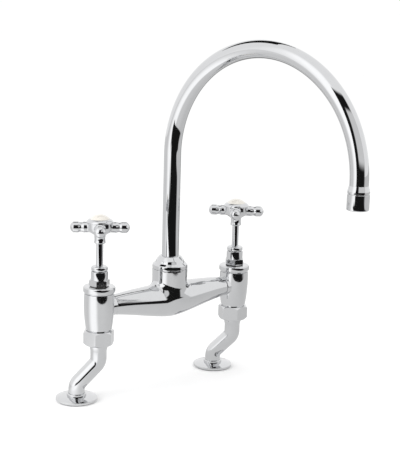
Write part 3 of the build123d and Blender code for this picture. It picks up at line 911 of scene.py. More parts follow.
@dataclass
class BridgeCasting:
    """The casting between the valves, with the spout socket on top.

    Attributes:
        end: Distance from the middle to the joint with a valve.
        end_radius: Radius at the joint.
        middle_radius: Radius in the middle.
        middle_round: How gently the taper turns at the middle.
        end_height: Height of the centre line at the joint.
        middle_height: Height of the centre line in the middle.
        spigot_radius: Radius of the spigot inside the valve.
        spigot_length: Length of that spigot.
        waterway: Radius of the waterway.
        socket_radius: Radius of the socket's mouth.
        socket_foot_radius: Radius where the socket begins to close in.
        socket_foot: Height of that place.
        socket_root: Height at which the socket's bowl ends inside the casting.
        bowl_radius: Radius of the bowl's side.
        socket_top: Height of the socket's mouth.
        socket_bore: Radius of the socket's bore.
        socket_floor: Height of the bore's floor.
        thread_radius: Radius of the socket's thread.
        thread_bottom: Height where that thread ends.
        fillet: Size of the cast fillet between socket and bridge.
        end_edge: Rounding of the edge at the joint.
        voxel: Size of the skin's faces.
    """

    end: float = 81.5
    end_radius: float = 11.4
    middle_radius: float = 20.9
    middle_round: float = 0.12
    end_height: float = 109.7
    middle_height: float = 105.6
    spigot_radius: float = 9.0
    spigot_length: float = 6.5
    waterway: float = 6.0
    socket_radius: float = 20.9
    socket_foot_radius: float = 20.55
    socket_foot: float = 115.0
    socket_root: float = 98.0
    bowl_radius: float = 26.0
    socket_top: float = 143.5
    socket_bore: float = 14.0
    socket_floor: float = 101.0
    thread_radius: float = 15.6
    thread_bottom: float = 136.0
    fillet: float = 6.5
    end_edge: float = 0.9
    voxel: float = 0.7

    def radius_at(self, x: np.ndarray) -> np.ndarray:
        """Radius of the bridge at x."""
        share = np.minimum(np.abs(x) / self.end, 1.0)
        full = math.hypot(1, self.middle_round) - self.middle_round
        fall = (np.hypot(share, self.middle_round) - self.middle_round) / full
        return self.middle_radius + (self.end_radius - self.middle_radius) * fall

    def height_at(self, x: np.ndarray) -> np.ndarray:
        """Height of the bridge's centre line at x."""
        share = np.minimum(np.abs(x) / self.end, 1.0)
        rise = self.end_height - self.middle_height
        return self.middle_height + rise * np.sin(np.pi / 2 * share) ** 2

    def socket_outline(self) -> Profile:
        """The socket's half section, as radius and height."""
        drop = self.socket_foot - self.socket_root
        root = self.socket_foot_radius - self.bowl_radius + math.sqrt(self.bowl_radius**2 - drop**2)
        start = math.asin(drop / self.bowl_radius)
        bowl = []
        for step in range(9):
            a = -start * (1 - step / 8)
            x = self.socket_foot_radius - self.bowl_radius + self.bowl_radius * math.cos(a)
            bowl.append((x, self.socket_foot + self.bowl_radius * math.sin(a)))
        corners = [(self.socket_foot_radius, self.socket_foot), (self.socket_radius, self.socket_top, 0.5)]
        mouth = Outline.rounded(corners + [(0.0, self.socket_top)])
        return [(0.0, self.socket_root), (root, self.socket_root)] + bowl[1:] + mouth[1:]

    def distance(self, points: np.ndarray) -> np.ndarray:
        """Signed distance to the casting, with the socket blended in."""
        x, y, z = points.T
        tube = np.hypot(y, z - self.height_at(x)) - self.radius_at(x)
        past_end = np.abs(x) - self.end
        edge = self.end_edge
        corner = np.hypot(np.maximum(tube + edge, 0), np.maximum(past_end + edge, 0)) - edge
        at_corner = (tube > -edge) & (past_end > -edge)
        capped = np.where(at_corner, corner, np.maximum(tube, past_end))
        socket = Casting.turned_distance(np.hypot(x, y), z, self.socket_outline())
        spigot_side = np.hypot(y, z - self.end_height) - self.spigot_radius
        spigot = np.maximum(spigot_side, past_end - self.spigot_length)
        return np.minimum(Casting.blend(capped, socket, self.fillet), spigot)

    def rough(self) -> Solid:
        """Overlapping shells near the casting's form."""
        stations = np.linspace(-self.end, self.end, 61)
        turns = np.linspace(0, 2 * math.pi, 64, endpoint=False)
        points = [(-self.end, 0.0, self.end_height)]
        for x in stations:
            radius = float(self.radius_at(np.array(x)))
            height = float(self.height_at(np.array(x)))
            points.extend((x, radius * math.cos(a), height + radius * math.sin(a)) for a in turns)
        points.append((self.end, 0.0, self.end_height))
        count = len(turns)
        faces: list[tuple[int, ...]] = []
        last = len(points) - 1
        for i in range(count):
            j = (i + 1) % count
            faces.append((0, 1 + i, 1 + j))
            faces.append((last, last - count + j, last - count + i))
            for row in range(len(stations) - 1):
                a = 1 + row * count
                faces.append((a + i, a + count + i, a + count + j, a + j))
        tube = Solid(np.array(points), faces)
        reach = self.end + self.spigot_length
        rod = Turning.stack(-reach, [(self.spigot_radius, reach)], 64)
        spigots = rod.lying().moved(0, 0, self.end_height)
        return tube.joined(Turning.lathe(self.socket_outline(), 96)).joined(spigots)

    def build(self) -> None:
        """Cast the bridge, bore it and put it on the frame."""
        obj = Casting.skin("bridge_casting", self.rough(), self.distance, self.voxel)
        reach = self.end + self.spigot_length + PAST
        way = Turning.stack(-reach, [(self.waterway, reach)], 48).lying().moved(0, 0, self.end_height)
        drill = [(self.socket_bore, self.thread_bottom), (self.thread_radius, self.socket_top + PAST)]
        well = Turning.stack(self.socket_floor, drill, 96)
        Carving.combine(obj, way, "DIFFERENCE")
        Carving.combine(obj, well, "DIFFERENCE")
        Piece("bridge_casting", Body.MIXER.value, CHROME, ("bridge",)).finish_object(obj)


@dataclass
class SpoutFoot:
    """The stepped cap that holds the spout in its socket.

    Attributes:
        bore: Radius of the hole for the tube.
        thread_radius: Radius of the threaded skirt.
        thread_bottom: Height of the skirt's lower end.
        seat: Height of the socket's mouth, on which the cap sits.
        rebate_radius: Radius of the narrow line between cap and socket.
        rebate_top: Height of that line's upper edge.
        radius: Radius of the cap's side at its foot.
        shoulder_radius: Radius of the side at its top.
        shoulder: Height of the side's top.
        step_radius: Radius of the step under the dome.
        step: Height of the step.
        dome_radius: Radius of the dome's flank.
        dome: Height of that flank.
        ring_radius: Radius of the flat at the top.
        top: Height of the flat.
    """

    bore: float = 10.06
    thread_radius: float = 15.55
    thread_bottom: float = 136.05
    seat: float = 143.5
    rebate_radius: float = 20.1
    rebate_top: float = 144.2
    radius: float = 20.9
    shoulder_radius: float = 20.6
    shoulder: float = 148.6
    step_radius: float = 17.2
    step: float = 150.7
    dome_radius: float = 16.3
    dome: float = 153.8
    ring_radius: float = 12.6
    top: float = 158.6

    def build(self) -> None:
        """Turn the cap."""
        corners = [
            (self.bore, self.thread_bottom), (self.thread_radius, self.thread_bottom, 0.3),
            (self.thread_radius, self.seat), (self.rebate_radius, self.seat),
            (self.rebate_radius, self.rebate_top), (self.radius, self.rebate_top, 0.3),
            (self.shoulder_radius, self.shoulder, 1.4), (self.step_radius, self.step, 0.6),
            (self.dome_radius, self.dome, 3.0), (self.ring_radius, self.top, 1.5), (self.bore, self.top, 0.2),
        ]
        Piece("spout_dome", Body.MIXER.value, CHROME, ("spout_cap",)).make(Turning.ring(corners, 160))


@dataclass
class Spout:
    """The swan-neck tube and its outlet.

    Attributes:
        turn: Angle of the spout from straight ahead, towards the right valve.
        bend: Radius of the half circle.
        bottom: Height of the tube's foot.
        springing: Height where the bend begins.
        mouth: Height of the tube's other end.
        radius: Outer radius of the tube.
        bore: Inner radius of the tube.
        ferrule_top: Height where the flared ring begins on the tube.
        ferrule_lip: Thickness of the ring there.
        ferrule_radius: Radius of the ring's rim.
        ferrule_rim: Height of the rim's upper edge.
        thread_radius: Radius of the ring's thread under the mouth.
        thread_bottom: Height of that thread's lower end.
        nozzle_radius: Radius of the nozzle.
        nozzle_top: Height of its upper edge.
        nozzle_bottom: Height of its mouth.
        nozzle_bore: Radius of its inside.
        nozzle_lip: Height of the lip that carries the mesh.
        nozzle_lip_bore: Radius of the hole in that lip.
        mesh_radius: Radius of the wire mesh.
        mesh_lift: Height of the lower wires' middle over the lip.
        wire_radius: Radius of a wire.
        wires: Wires in each direction.
        steps: Points along the bend.
    """

    turn: float = 11.3
    bend: float = 128.5
    bottom: float = 106.0
    springing: float = 279.5
    mouth: float = 268.3
    radius: float = 10.0
    bore: float = 8.8
    ferrule_top: float = 276.3
    ferrule_lip: float = 0.25
    ferrule_radius: float = 11.6
    ferrule_rim: float = 270.6
    thread_radius: float = 10.55
    thread_bottom: float = 260.0
    nozzle_radius: float = 11.7
    nozzle_top: float = 267.5
    nozzle_bottom: float = 250.5
    nozzle_bore: float = 9.7
    nozzle_lip: float = 253.0
    nozzle_lip_bore: float = 8.8
    mesh_radius: float = 9.6
    mesh_lift: float = 0.18
    wire_radius: float = 0.14
    wires: int = 17
    steps: int = 96

    @property
    def outlet(self) -> Vector:
        """Centre of the outlet, seen from above."""
        a = math.radians(self.turn)
        return Vector((2 * self.bend * math.sin(a), -2 * self.bend * math.cos(a), 0))

    def path(self) -> list[Vector]:
        """Centre line of the tube."""
        ahead = self.outlet.normalized()
        up = Vector((0, 0, 1))
        line = [up * self.bottom]
        for step in range(self.steps + 1):
            a = math.pi * (1 - step / self.steps)
            height = self.springing + self.bend * math.sin(a)
            line.append(ahead * (self.bend * (1 + math.cos(a))) + up * height)
        line.append(self.outlet + up * self.mouth)
        return line

    def build(self) -> None:
        """Make the tube, ferrule, nozzle and wire mesh."""
        body = Body.SPOUT.value
        pipe = Pipe(self.radius, self.bore).along(self.path(), TUBE_CHROME)
        Piece("swan_neck", body, TUBE_CHROME, ("spout_tube",), crease=50.0).finish_object(pipe)
        self.ferrule(body)
        self.nozzle(body)
        self.mesh(body)

    def ferrule(self, body: str) -> None:
        """Turn the flared ring on the tube's mouth."""
        corners = [
            (self.radius, self.ferrule_top), (self.radius + self.ferrule_lip, self.ferrule_top, 0.1),
            (self.ferrule_radius, self.ferrule_rim, 1.0), (self.ferrule_radius, self.mouth, 0.25),
            (self.thread_radius, self.mouth), (self.thread_radius, self.thread_bottom, 0.2),
            (self.bore, self.thread_bottom), (self.bore, self.mouth), (self.radius, self.mouth),
        ]
        ring = Turning.ring(corners).moved(self.outlet.x, self.outlet.y)
        Piece("outlet_flare", body, CHROME, ("outlet_ferrule",)).make(ring)

    def nozzle(self, body: str) -> None:
        """Turn the aerator's outer shell."""
        thread = self.thread_radius + THREAD_GAP
        corners = [
            (self.nozzle_lip_bore, self.nozzle_bottom, 0.3), (self.nozzle_radius, self.nozzle_bottom, 1.3),
            (self.nozzle_radius, self.nozzle_top, 0.4), (thread, self.nozzle_top),
            (thread, self.thread_bottom), (self.nozzle_bore, self.thread_bottom),
            (self.nozzle_bore, self.nozzle_lip), (self.nozzle_lip_bore, self.nozzle_lip),
        ]
        ring = Turning.ring(corners).moved(self.outlet.x, self.outlet.y)
        Piece("nozzle_shell", body, CHROME, ("nozzle",)).make(ring)

    def mesh(self, body: str) -> None:
        """Lay crossed wires over the nozzle's mouth with Geometry Nodes."""
        sizes = {
            "Mouth radius": self.mesh_radius * MM, "Wire radius": self.wire_radius * MM, "Wires": self.wires,
            "Outermost wire": 0.94, "Crossing lift": 0.24 * MM,
        }
        made = GeometryTree("wire_mesh", sizes)
        graph = made.graph
        reach = made.given("Mouth radius")
        outermost = reach * made.given("Outermost wire")
        line = graph.node(
            "GeometryNodeMeshLine", {"mode": "END_POINTS", "count_mode": "TOTAL"},
            {
                "Count": made.given("Wires"),
                "Start Location": graph.node("ShaderNodeCombineXYZ", {}, {0: outermost * -1.0}),
                "Offset": graph.node("ShaderNodeCombineXYZ", {}, {0: outermost}),
            },
        )
        wire = graph.node(
            "GeometryNodeMeshCylinder", {"fill_type": "NGON"},
            {"Vertices": 8, "Radius": made.given("Wire radius"), "Depth": 2.0},
        )
        quarter = math.pi / 2
        lying = graph.node("GeometryNodeTransform", {}, {"Geometry": wire, "Rotation": (quarter, 0.0, 0.0)})
        where = graph.node("ShaderNodeSeparateXYZ", {}, {0: graph.node("GeometryNodeInputPosition")})
        chord = (reach * reach - where * where) ** 0.5
        stretch = graph.node("ShaderNodeCombineXYZ", {}, {0: 1.0, 1: chord, 2: 1.0})
        placed = {"Points": line, "Instance": lying, "Scale": stretch}
        row = graph.node("GeometryNodeInstanceOnPoints", {}, placed)
        lift = graph.node("ShaderNodeCombineXYZ", {}, {2: made.given("Crossing lift")})
        turned = {"Geometry": row, "Rotation": (0.0, 0.0, quarter), "Translation": lift}
        crossed = graph.node("GeometryNodeTransform", {}, turned)
        both = graph.node("GeometryNodeJoinGeometry")
        for part in (crossed, row):
            made.tree.links.new(part.socket, both.socket.node.inputs[0])
        made.finish(both)
        wires = made.grown(STEEL)
        place = (self.outlet + Vector((0, 0, self.nozzle_lip + self.mesh_lift))) * MM
        wires.data.transform(Matrix.Translation(place))
        Piece("wire_mesh", body, STEEL, ("aerator_mesh",)).finish_object(wires)


@dataclass
class Sided:
    """What the sub-assemblies on the two sides of the mixer share.

    Attributes:
        side: Which side it is on.
        x: Place of the valve's axis, from the spout's axis.
    """

    side: Side
    x: float

    def node(self, name: str) -> str:
        """The name of this side's node, body or piece."""
        return f"{self.side.value}_{name}"

    def piece(self, name: str, body: str, finish: Finish, stands_for: str) -> Piece:
        """A piece of this side that stands for one of its nodes."""
        return Piece(self.node(name), body, finish, (self.node(stands_for),))

    def on_axis(self, obj: bpy.types.Object) -> bpy.types.Object:
        """Shift an object's mesh on to the valve's axis."""
        obj.data.transform(Matrix.Translation((self.x * MM, 0, 0)))
        return obj


@dataclass
class Valve(Sided):
    """One upright valve with its headwork and spindle.

    The pairs are a radius and a height on the body's side, or the width and height of a chamfer.

    Attributes:
        hexagon_turn: Angle of one corner of the bonnet's hexagon.
    """

    hexagon_turn: float

    # Body
    foot_radius: float = 13.2
    foot_bottom: float = 74.5
    body_bottom: float = 85.2
    body_bottom_radius: float = 15.1
    flank: tuple[float, float] = (16.4, 95.0)
    shoulder: tuple[float, float] = (17.15, 104.5)
    belly: tuple[float, float] = (17.5, 114.5)
    neck: tuple[float, float] = (17.2, 126.6)
    groove_radius: float = 16.5
    groove_lip: float = 0.4
    rim_bottom: float = 127.9
    rim_radius: float = 18.35
    top: float = 135.0
    chamber: float = 9.5
    chamber_floor: float = 97.0
    inlet: float = 8.0

    # Boss and port towards the bridge, measured from the valve's axis
    boss_radius: float = 11.8
    boss_height: float = 109.7
    boss_start: float = 10.5
    boss_end: float = 18.5
    port_radius: float = 9.0
    port_start: float = 2.0

    # Bonnet
    hexagon_bottom: float = 135.8
    hexagon_radius: float = 12.1
    hexagon_top: float = 142.6
    hexagon_edge: float = 0.35
    lower_chamfer: tuple[float, float] = (1.0, 0.7)
    upper_chamfer: tuple[float, float] = (1.3, 0.8)
    chamfer_margin: float = 0.1
    sleeve_radius: float = 9.8
    sleeve_top: float = 152.5
    shank_bottom: float = 114.0
    guide_bottom: float = 143.6
    packing_radius: float = 7.0
    packing_floor: float = 145.5

    # Gland nut
    skirt_radius: float = 6.95
    skirt_bottom: float = 149.0
    gland_bottom: float = 153.1
    gland_top: float = 158.4
    gland_radius: float = 9.4

    # Spindle
    spindle_radius: float = 4.0
    spindle_screw_radius: float = 6.0
    spindle_bottom: float = 103.8
    spindle_screw_top: float = 138.0
    spindle_top: float = 204.0
    jumper_bore: float = 2.56
    jumper_bore_top: float = 113.0

    def build(self) -> None:
        """Make the body, bonnet, gland nut and spindle."""
        self.body()
        self.bonnet()
        self.gland()
        self.spindle()

    def body(self) -> None:
        """Turn the body, add the boss for the bridge and drill the side port."""
        start = (self.body_bottom_radius, self.body_bottom)
        corners = [
            (self.inlet, self.foot_bottom, 0.4), (self.foot_radius, self.foot_bottom, 0.6),
            (self.foot_radius, self.body_bottom),
            *Outline.curve([start, self.flank, self.shoulder, self.belly, self.neck]),
            (self.groove_radius, self.neck[1] + self.groove_lip), (self.groove_radius, self.rim_bottom),
            (self.rim_radius, self.rim_bottom, 1.6), (self.rim_radius, self.top, 1.8),
            (self.chamber, self.top, 0.3), (self.chamber, self.chamber_floor),
            (self.inlet, self.chamber_floor),
        ]
        obj = Carving.object_of(Turning.ring(corners, 160, steps=9), self.node("body"))
        inwards = 1 if self.side is Side.LEFT else -1
        corners = [
            (0, self.boss_start), (self.boss_radius, self.boss_start),
            (self.boss_radius, self.boss_end, 0.4), (0, self.boss_end),
        ]
        boss = Turning.lathe(Outline.rounded(corners), 96).lying(inwards)
        Carving.combine(obj, boss.moved(0, 0, self.boss_height), "UNION")
        port = Turning.stack(self.port_start, [(self.port_radius, self.boss_end + PAST)], 64).lying(inwards)
        Carving.combine(obj, port.moved(0, 0, self.boss_height), "DIFFERENCE")
        casting = self.piece("valve_casting", Body.MIXER.value, CHROME, "valve_body")
        casting.finish_object(self.on_axis(obj))

    def bonnet(self) -> None:
        """Make the bonnet's hexagon, shank and sleeve as one piece, bored for the spindle."""
        low, high, corner = self.hexagon_bottom, self.hexagon_top, self.hexagon_radius
        past = corner + self.chamfer_margin
        cone = [
            (0, low), (corner - self.lower_chamfer[0], low), (past, low + self.lower_chamfer[1]),
            (past, high - self.upper_chamfer[1]), (corner - self.upper_chamfer[0], high), (0, high),
        ]
        prism = Turning.hexagon(corner, self.hexagon_turn, low, high, self.hexagon_edge)
        obj = Carving.object_of(prism, self.node("bonnet_head"))
        Carving.combine(obj, Turning.lathe(cone), "INTERSECT")
        shank = self.chamber - THREAD_GAP
        stem = [
            (0, self.shank_bottom), (shank, self.shank_bottom, 0.4), (shank, low),
            (self.sleeve_radius, low + PAST), (self.sleeve_radius, self.sleeve_top, 0.45),
            (0, self.sleeve_top),
        ]
        Carving.combine(obj, Turning.lathe(Outline.rounded(stem)), "UNION")
        drill = [
            (self.spindle_screw_radius + SLIDING_GAP, self.guide_bottom),
            (self.spindle_radius + SLIDING_GAP, self.packing_floor),
            (self.packing_radius, self.sleeve_top + PAST),
        ]
        Carving.combine(obj, Turning.stack(self.shank_bottom - PAST, drill, 96), "DIFFERENCE")
        self.piece("headwork", Body.MIXER.value, CHROME, "bonnet").finish_object(self.on_axis(obj))

    def gland(self) -> None:
        """Turn the round gland nut."""
        bore = self.spindle_radius + SLIDING_GAP
        corners = [
            (bore, self.skirt_bottom), (self.skirt_radius, self.skirt_bottom),
            (self.skirt_radius, self.gland_bottom), (self.gland_radius, self.gland_bottom, 1.0),
            (self.gland_radius, self.gland_top, 1.9), (bore, self.gland_top, 0.2),
        ]
        ring = Turning.ring(corners, steps=9).moved(self.x, 0)
        self.piece("gland_cap", Body.MIXER.value, CHROME, "gland_nut").make(ring)

    def spindle(self) -> None:
        """Turn the spindle, with its thick screwed end and its bore for the jumper."""
        corners = [
            (0, self.jumper_bore_top), (self.jumper_bore, self.jumper_bore_top),
            (self.jumper_bore, self.spindle_bottom), (self.spindle_screw_radius, self.spindle_bottom, 0.4),
            (self.spindle_screw_radius, self.spindle_screw_top, 0.4),
            (self.spindle_radius, self.spindle_screw_top), (self.spindle_radius, self.spindle_top),
            (0, self.spindle_top),
        ]
        solid = Turning.lathe(Outline.rounded(corners, steps=3), 96).moved(self.x, 0)
        self.piece("stem", self.node("handle"), TUBE_CHROME, "spindle").make(solid)


@dataclass
class Handle(Sided):
    """A crosshead handle with its porcelain button.

    Attributes:
        turn: Angle of one arm.
    """

    turn: float

    # Collar and hub
    collar_radius: float = 6.5
    collar_bottom: float = 184.8
    collar_top: float = 194.4
    collar_waist: float = 0.4
    collar_lead: float = 0.8
    stem_bore: float = 4.0
    hub_foot_radius: float = 7.2
    hub_foot_rise: float = 0.4
    hub_flank_inset: float = 1.6
    hub_flank_rise: float = 4.6
    hub_radius: float = 14.6
    hub_rim_radius: float = 14.9
    hub_top: float = 208.6
    hub_floor: float = 204.0
    recess: float = 13.2

    # Arms, measured from the hub's axis
    arm_height: float = 203.2
    arm_start: float = 9.0
    arm_end: float = 33.6
    arm_radius: float = 6.3
    arm_waist_radius: float = 5.5
    arm_bead_end: float = 18.0
    arm_waist: float = 21.5
    arm_barrel_start: float = 24.5
    arm_dome: float = 3.8
    dome_steps: int = 8

    # Button ring and button
    ring_radius: float = 15.1
    ring_edge: float = 209.4
    ring_slope: float = 5.2
    ring_top: float = 212.9
    ring_bore: float = 11.3
    ring_lip: float = 0.7
    ring_land: float = 0.2
    ring_bottom: float = 206.6
    button_bottom: float = 206.8
    button_top: float = 218.0

    # Casting
    fillet: float = 1.1
    voxel: float = 0.4
    arms: int = 4

    def hub_outline(self) -> Profile:
        """The hub and collar's half section, from the axis at the bottom to the axis at the top."""
        low, high = self.collar_bottom, self.collar_top
        waist = (self.collar_radius - self.collar_waist, (low + high) / 2)
        lead = (self.collar_radius, low + self.collar_lead)
        collar = Outline.curve([lead, waist, (self.collar_radius, high)])
        foot = (self.hub_foot_radius, high + self.hub_foot_rise)
        flank = (self.hub_radius - self.hub_flank_inset, high + self.hub_flank_rise)
        bowl = Outline.curve([foot, flank, (self.hub_radius, self.arm_height)])
        ends = [(0.0, self.collar_bottom), (self.collar_radius - 0.5, self.collar_bottom)]
        return ends + collar + bowl + [(self.hub_rim_radius, self.hub_top), (0.0, self.hub_top)]

    def arm_outline(self) -> Profile:
        """An arm's half section, as distance along the arm and radius."""
        dome = (self.arm_radius**2 + self.arm_dome**2) / (2 * self.arm_dome)
        centre = self.arm_end - dome
        start = math.asin(self.arm_radius / dome)
        turns = [start * (1 - s / self.dome_steps) for s in range(self.dome_steps + 1)]
        tip = [(centre + dome * math.cos(a), dome * math.sin(a)) for a in turns]
        bead, barrel = (self.arm_bead_end, self.arm_radius), (self.arm_barrel_start, self.arm_radius)
        waist = Outline.curve([bead, (self.arm_waist, self.arm_waist_radius), barrel])
        return [(self.arm_start, 0.0), (self.arm_start, self.arm_radius - 0.5)] + waist + tip

    def arm_turns(self) -> list[float]:
        """The angle of each arm."""
        return [self.turn + 360 / self.arms * i for i in range(self.arms)]

    def distance(self, points: np.ndarray) -> np.ndarray:
        """Signed distance to the crosshead, centred on the valve's axis."""
        x, y, z = points.T
        nearest = Casting.turned_distance(np.hypot(x, y), z, self.hub_outline())
        half = [(r, s) for s, r in self.arm_outline()]
        for turn in self.arm_turns():
            a = math.radians(turn)
            along = x * math.cos(a) + y * math.sin(a)
            across = np.hypot(-x * math.sin(a) + y * math.cos(a), z - self.arm_height)
            arm = Casting.turned_distance(across, along, half)
            nearest = Casting.blend(nearest, arm, self.fillet)
        return nearest

    def rough(self) -> Solid:
        """Overlapping shells of the hub and the four arms."""
        solid = Turning.lathe(self.hub_outline(), 96)
        arm = Turning.lathe([(r, s) for s, r in self.arm_outline()], 64).lying()
        for turn in self.arm_turns():
            spun = arm.mapped(Matrix.Rotation(math.radians(turn), 4, "Z"))
            solid = solid.joined(spun.moved(0, 0, self.arm_height))
        return solid

    def build(self) -> None:
        """Cast the crosshead and turn its ring and button."""
        body = self.node("handle")
        obj = Casting.skin(self.node("cross"), self.rough(), self.distance, self.voxel)
        drill = [(self.stem_bore, self.hub_floor), (self.recess, self.hub_top + 3 * PAST)]
        Carving.combine(obj, Turning.stack(self.collar_bottom - PAST, drill, 96), "DIFFERENCE")
        self.piece("cross", body, CHROME, "crosshead").finish_object(self.on_axis(obj))
        self.ring(body)
        self.button(body)

    def ring(self, body: str) -> None:
        """Turn the sloping ring that holds the button."""
        start = Vector((self.ring_radius, self.ring_edge))
        end = Vector((self.ring_bore + self.ring_land, self.ring_top))
        lip, skirt = self.ring_bore + self.ring_lip, self.recess - THREAD_GAP
        corners = [
            (self.ring_bore, self.ring_top), (self.ring_bore, self.hub_top), (lip, self.hub_top),
            (lip, self.ring_bottom), (skirt, self.ring_bottom, 0.2), (skirt, self.hub_top),
            (self.ring_radius, self.hub_top, 0.25), *Outline.arc(start, end, self.ring_slope),
        ]
        self.piece("button_rim", body, CHROME, "button_ring").make(Turning.ring(corners).moved(self.x, 0))

    def button(self, body: str) -> None:
        """Turn the domed porcelain button."""
        radius = self.ring_bore - THREAD_GAP
        rise = self.button_top - self.ring_top
        curve = (radius**2 + rise**2) / (2 * rise)
        foot, ledge = radius + self.ring_lip, self.hub_top - THREAD_GAP
        corners = [
            (0, self.button_bottom), (foot, self.button_bottom, 0.3), (foot, ledge), (radius, ledge),
            *Outline.arc(Vector((radius, self.ring_top)), Vector((0, self.button_top)), curve),
        ]
        solid = Turning.lathe(Outline.rounded(corners)).moved(self.x, 0)
        self.piece("button", body, PORCELAIN, "porcelain_button").make(solid)


@dataclass(frozen=True)
class HexagonNut:
    """A hexagon nut, chamfered at both faces.

    Attributes:
        corner: Radius over the corners.
        bottom: Height of the lower face.
        top: Height of the upper face.
        chamfer: Size of the chamfers.
        bore: Radius of the hole.
        pocket: Radius of the wider hole above it.
        floor: Height of the pocket's floor.
        margin: How far the chamfers' cone stands past the corners.
    """

    corner: float
    bottom: float
    top: float
    chamfer: float
    bore: float
    pocket: float
    floor: float
    margin: float = 0.05

    def cut(self, name: str, turn: float) -> bpy.types.Object:
        """Cut the nut round the vertical axis through the origin.

        Args:
            name: The object's name.
            turn: Angle of one corner.

        Returns:
            The object that holds the nut.
        """
        face, past = self.corner - self.chamfer, self.corner + self.margin
        ends = [
            (0, self.bottom), (face, self.bottom, 0.8), (past, self.bottom + self.chamfer),
            (past, self.top - self.chamfer), (face, self.top, 0.8), (0, self.top),
        ]
        obj = Carving.object_of(Turning.hexagon(self.corner, turn, self.bottom, self.top), name)
        Carving.combine(obj, Turning.lathe(Outline.rounded(ends, steps=4), 160), "INTERSECT")
        drill = [(self.bore, self.floor), (self.pocket, self.top + PAST)]
        return Carving.combine(obj, Turning.stack(self.bottom - PAST, drill, 96), "DIFFERENCE")


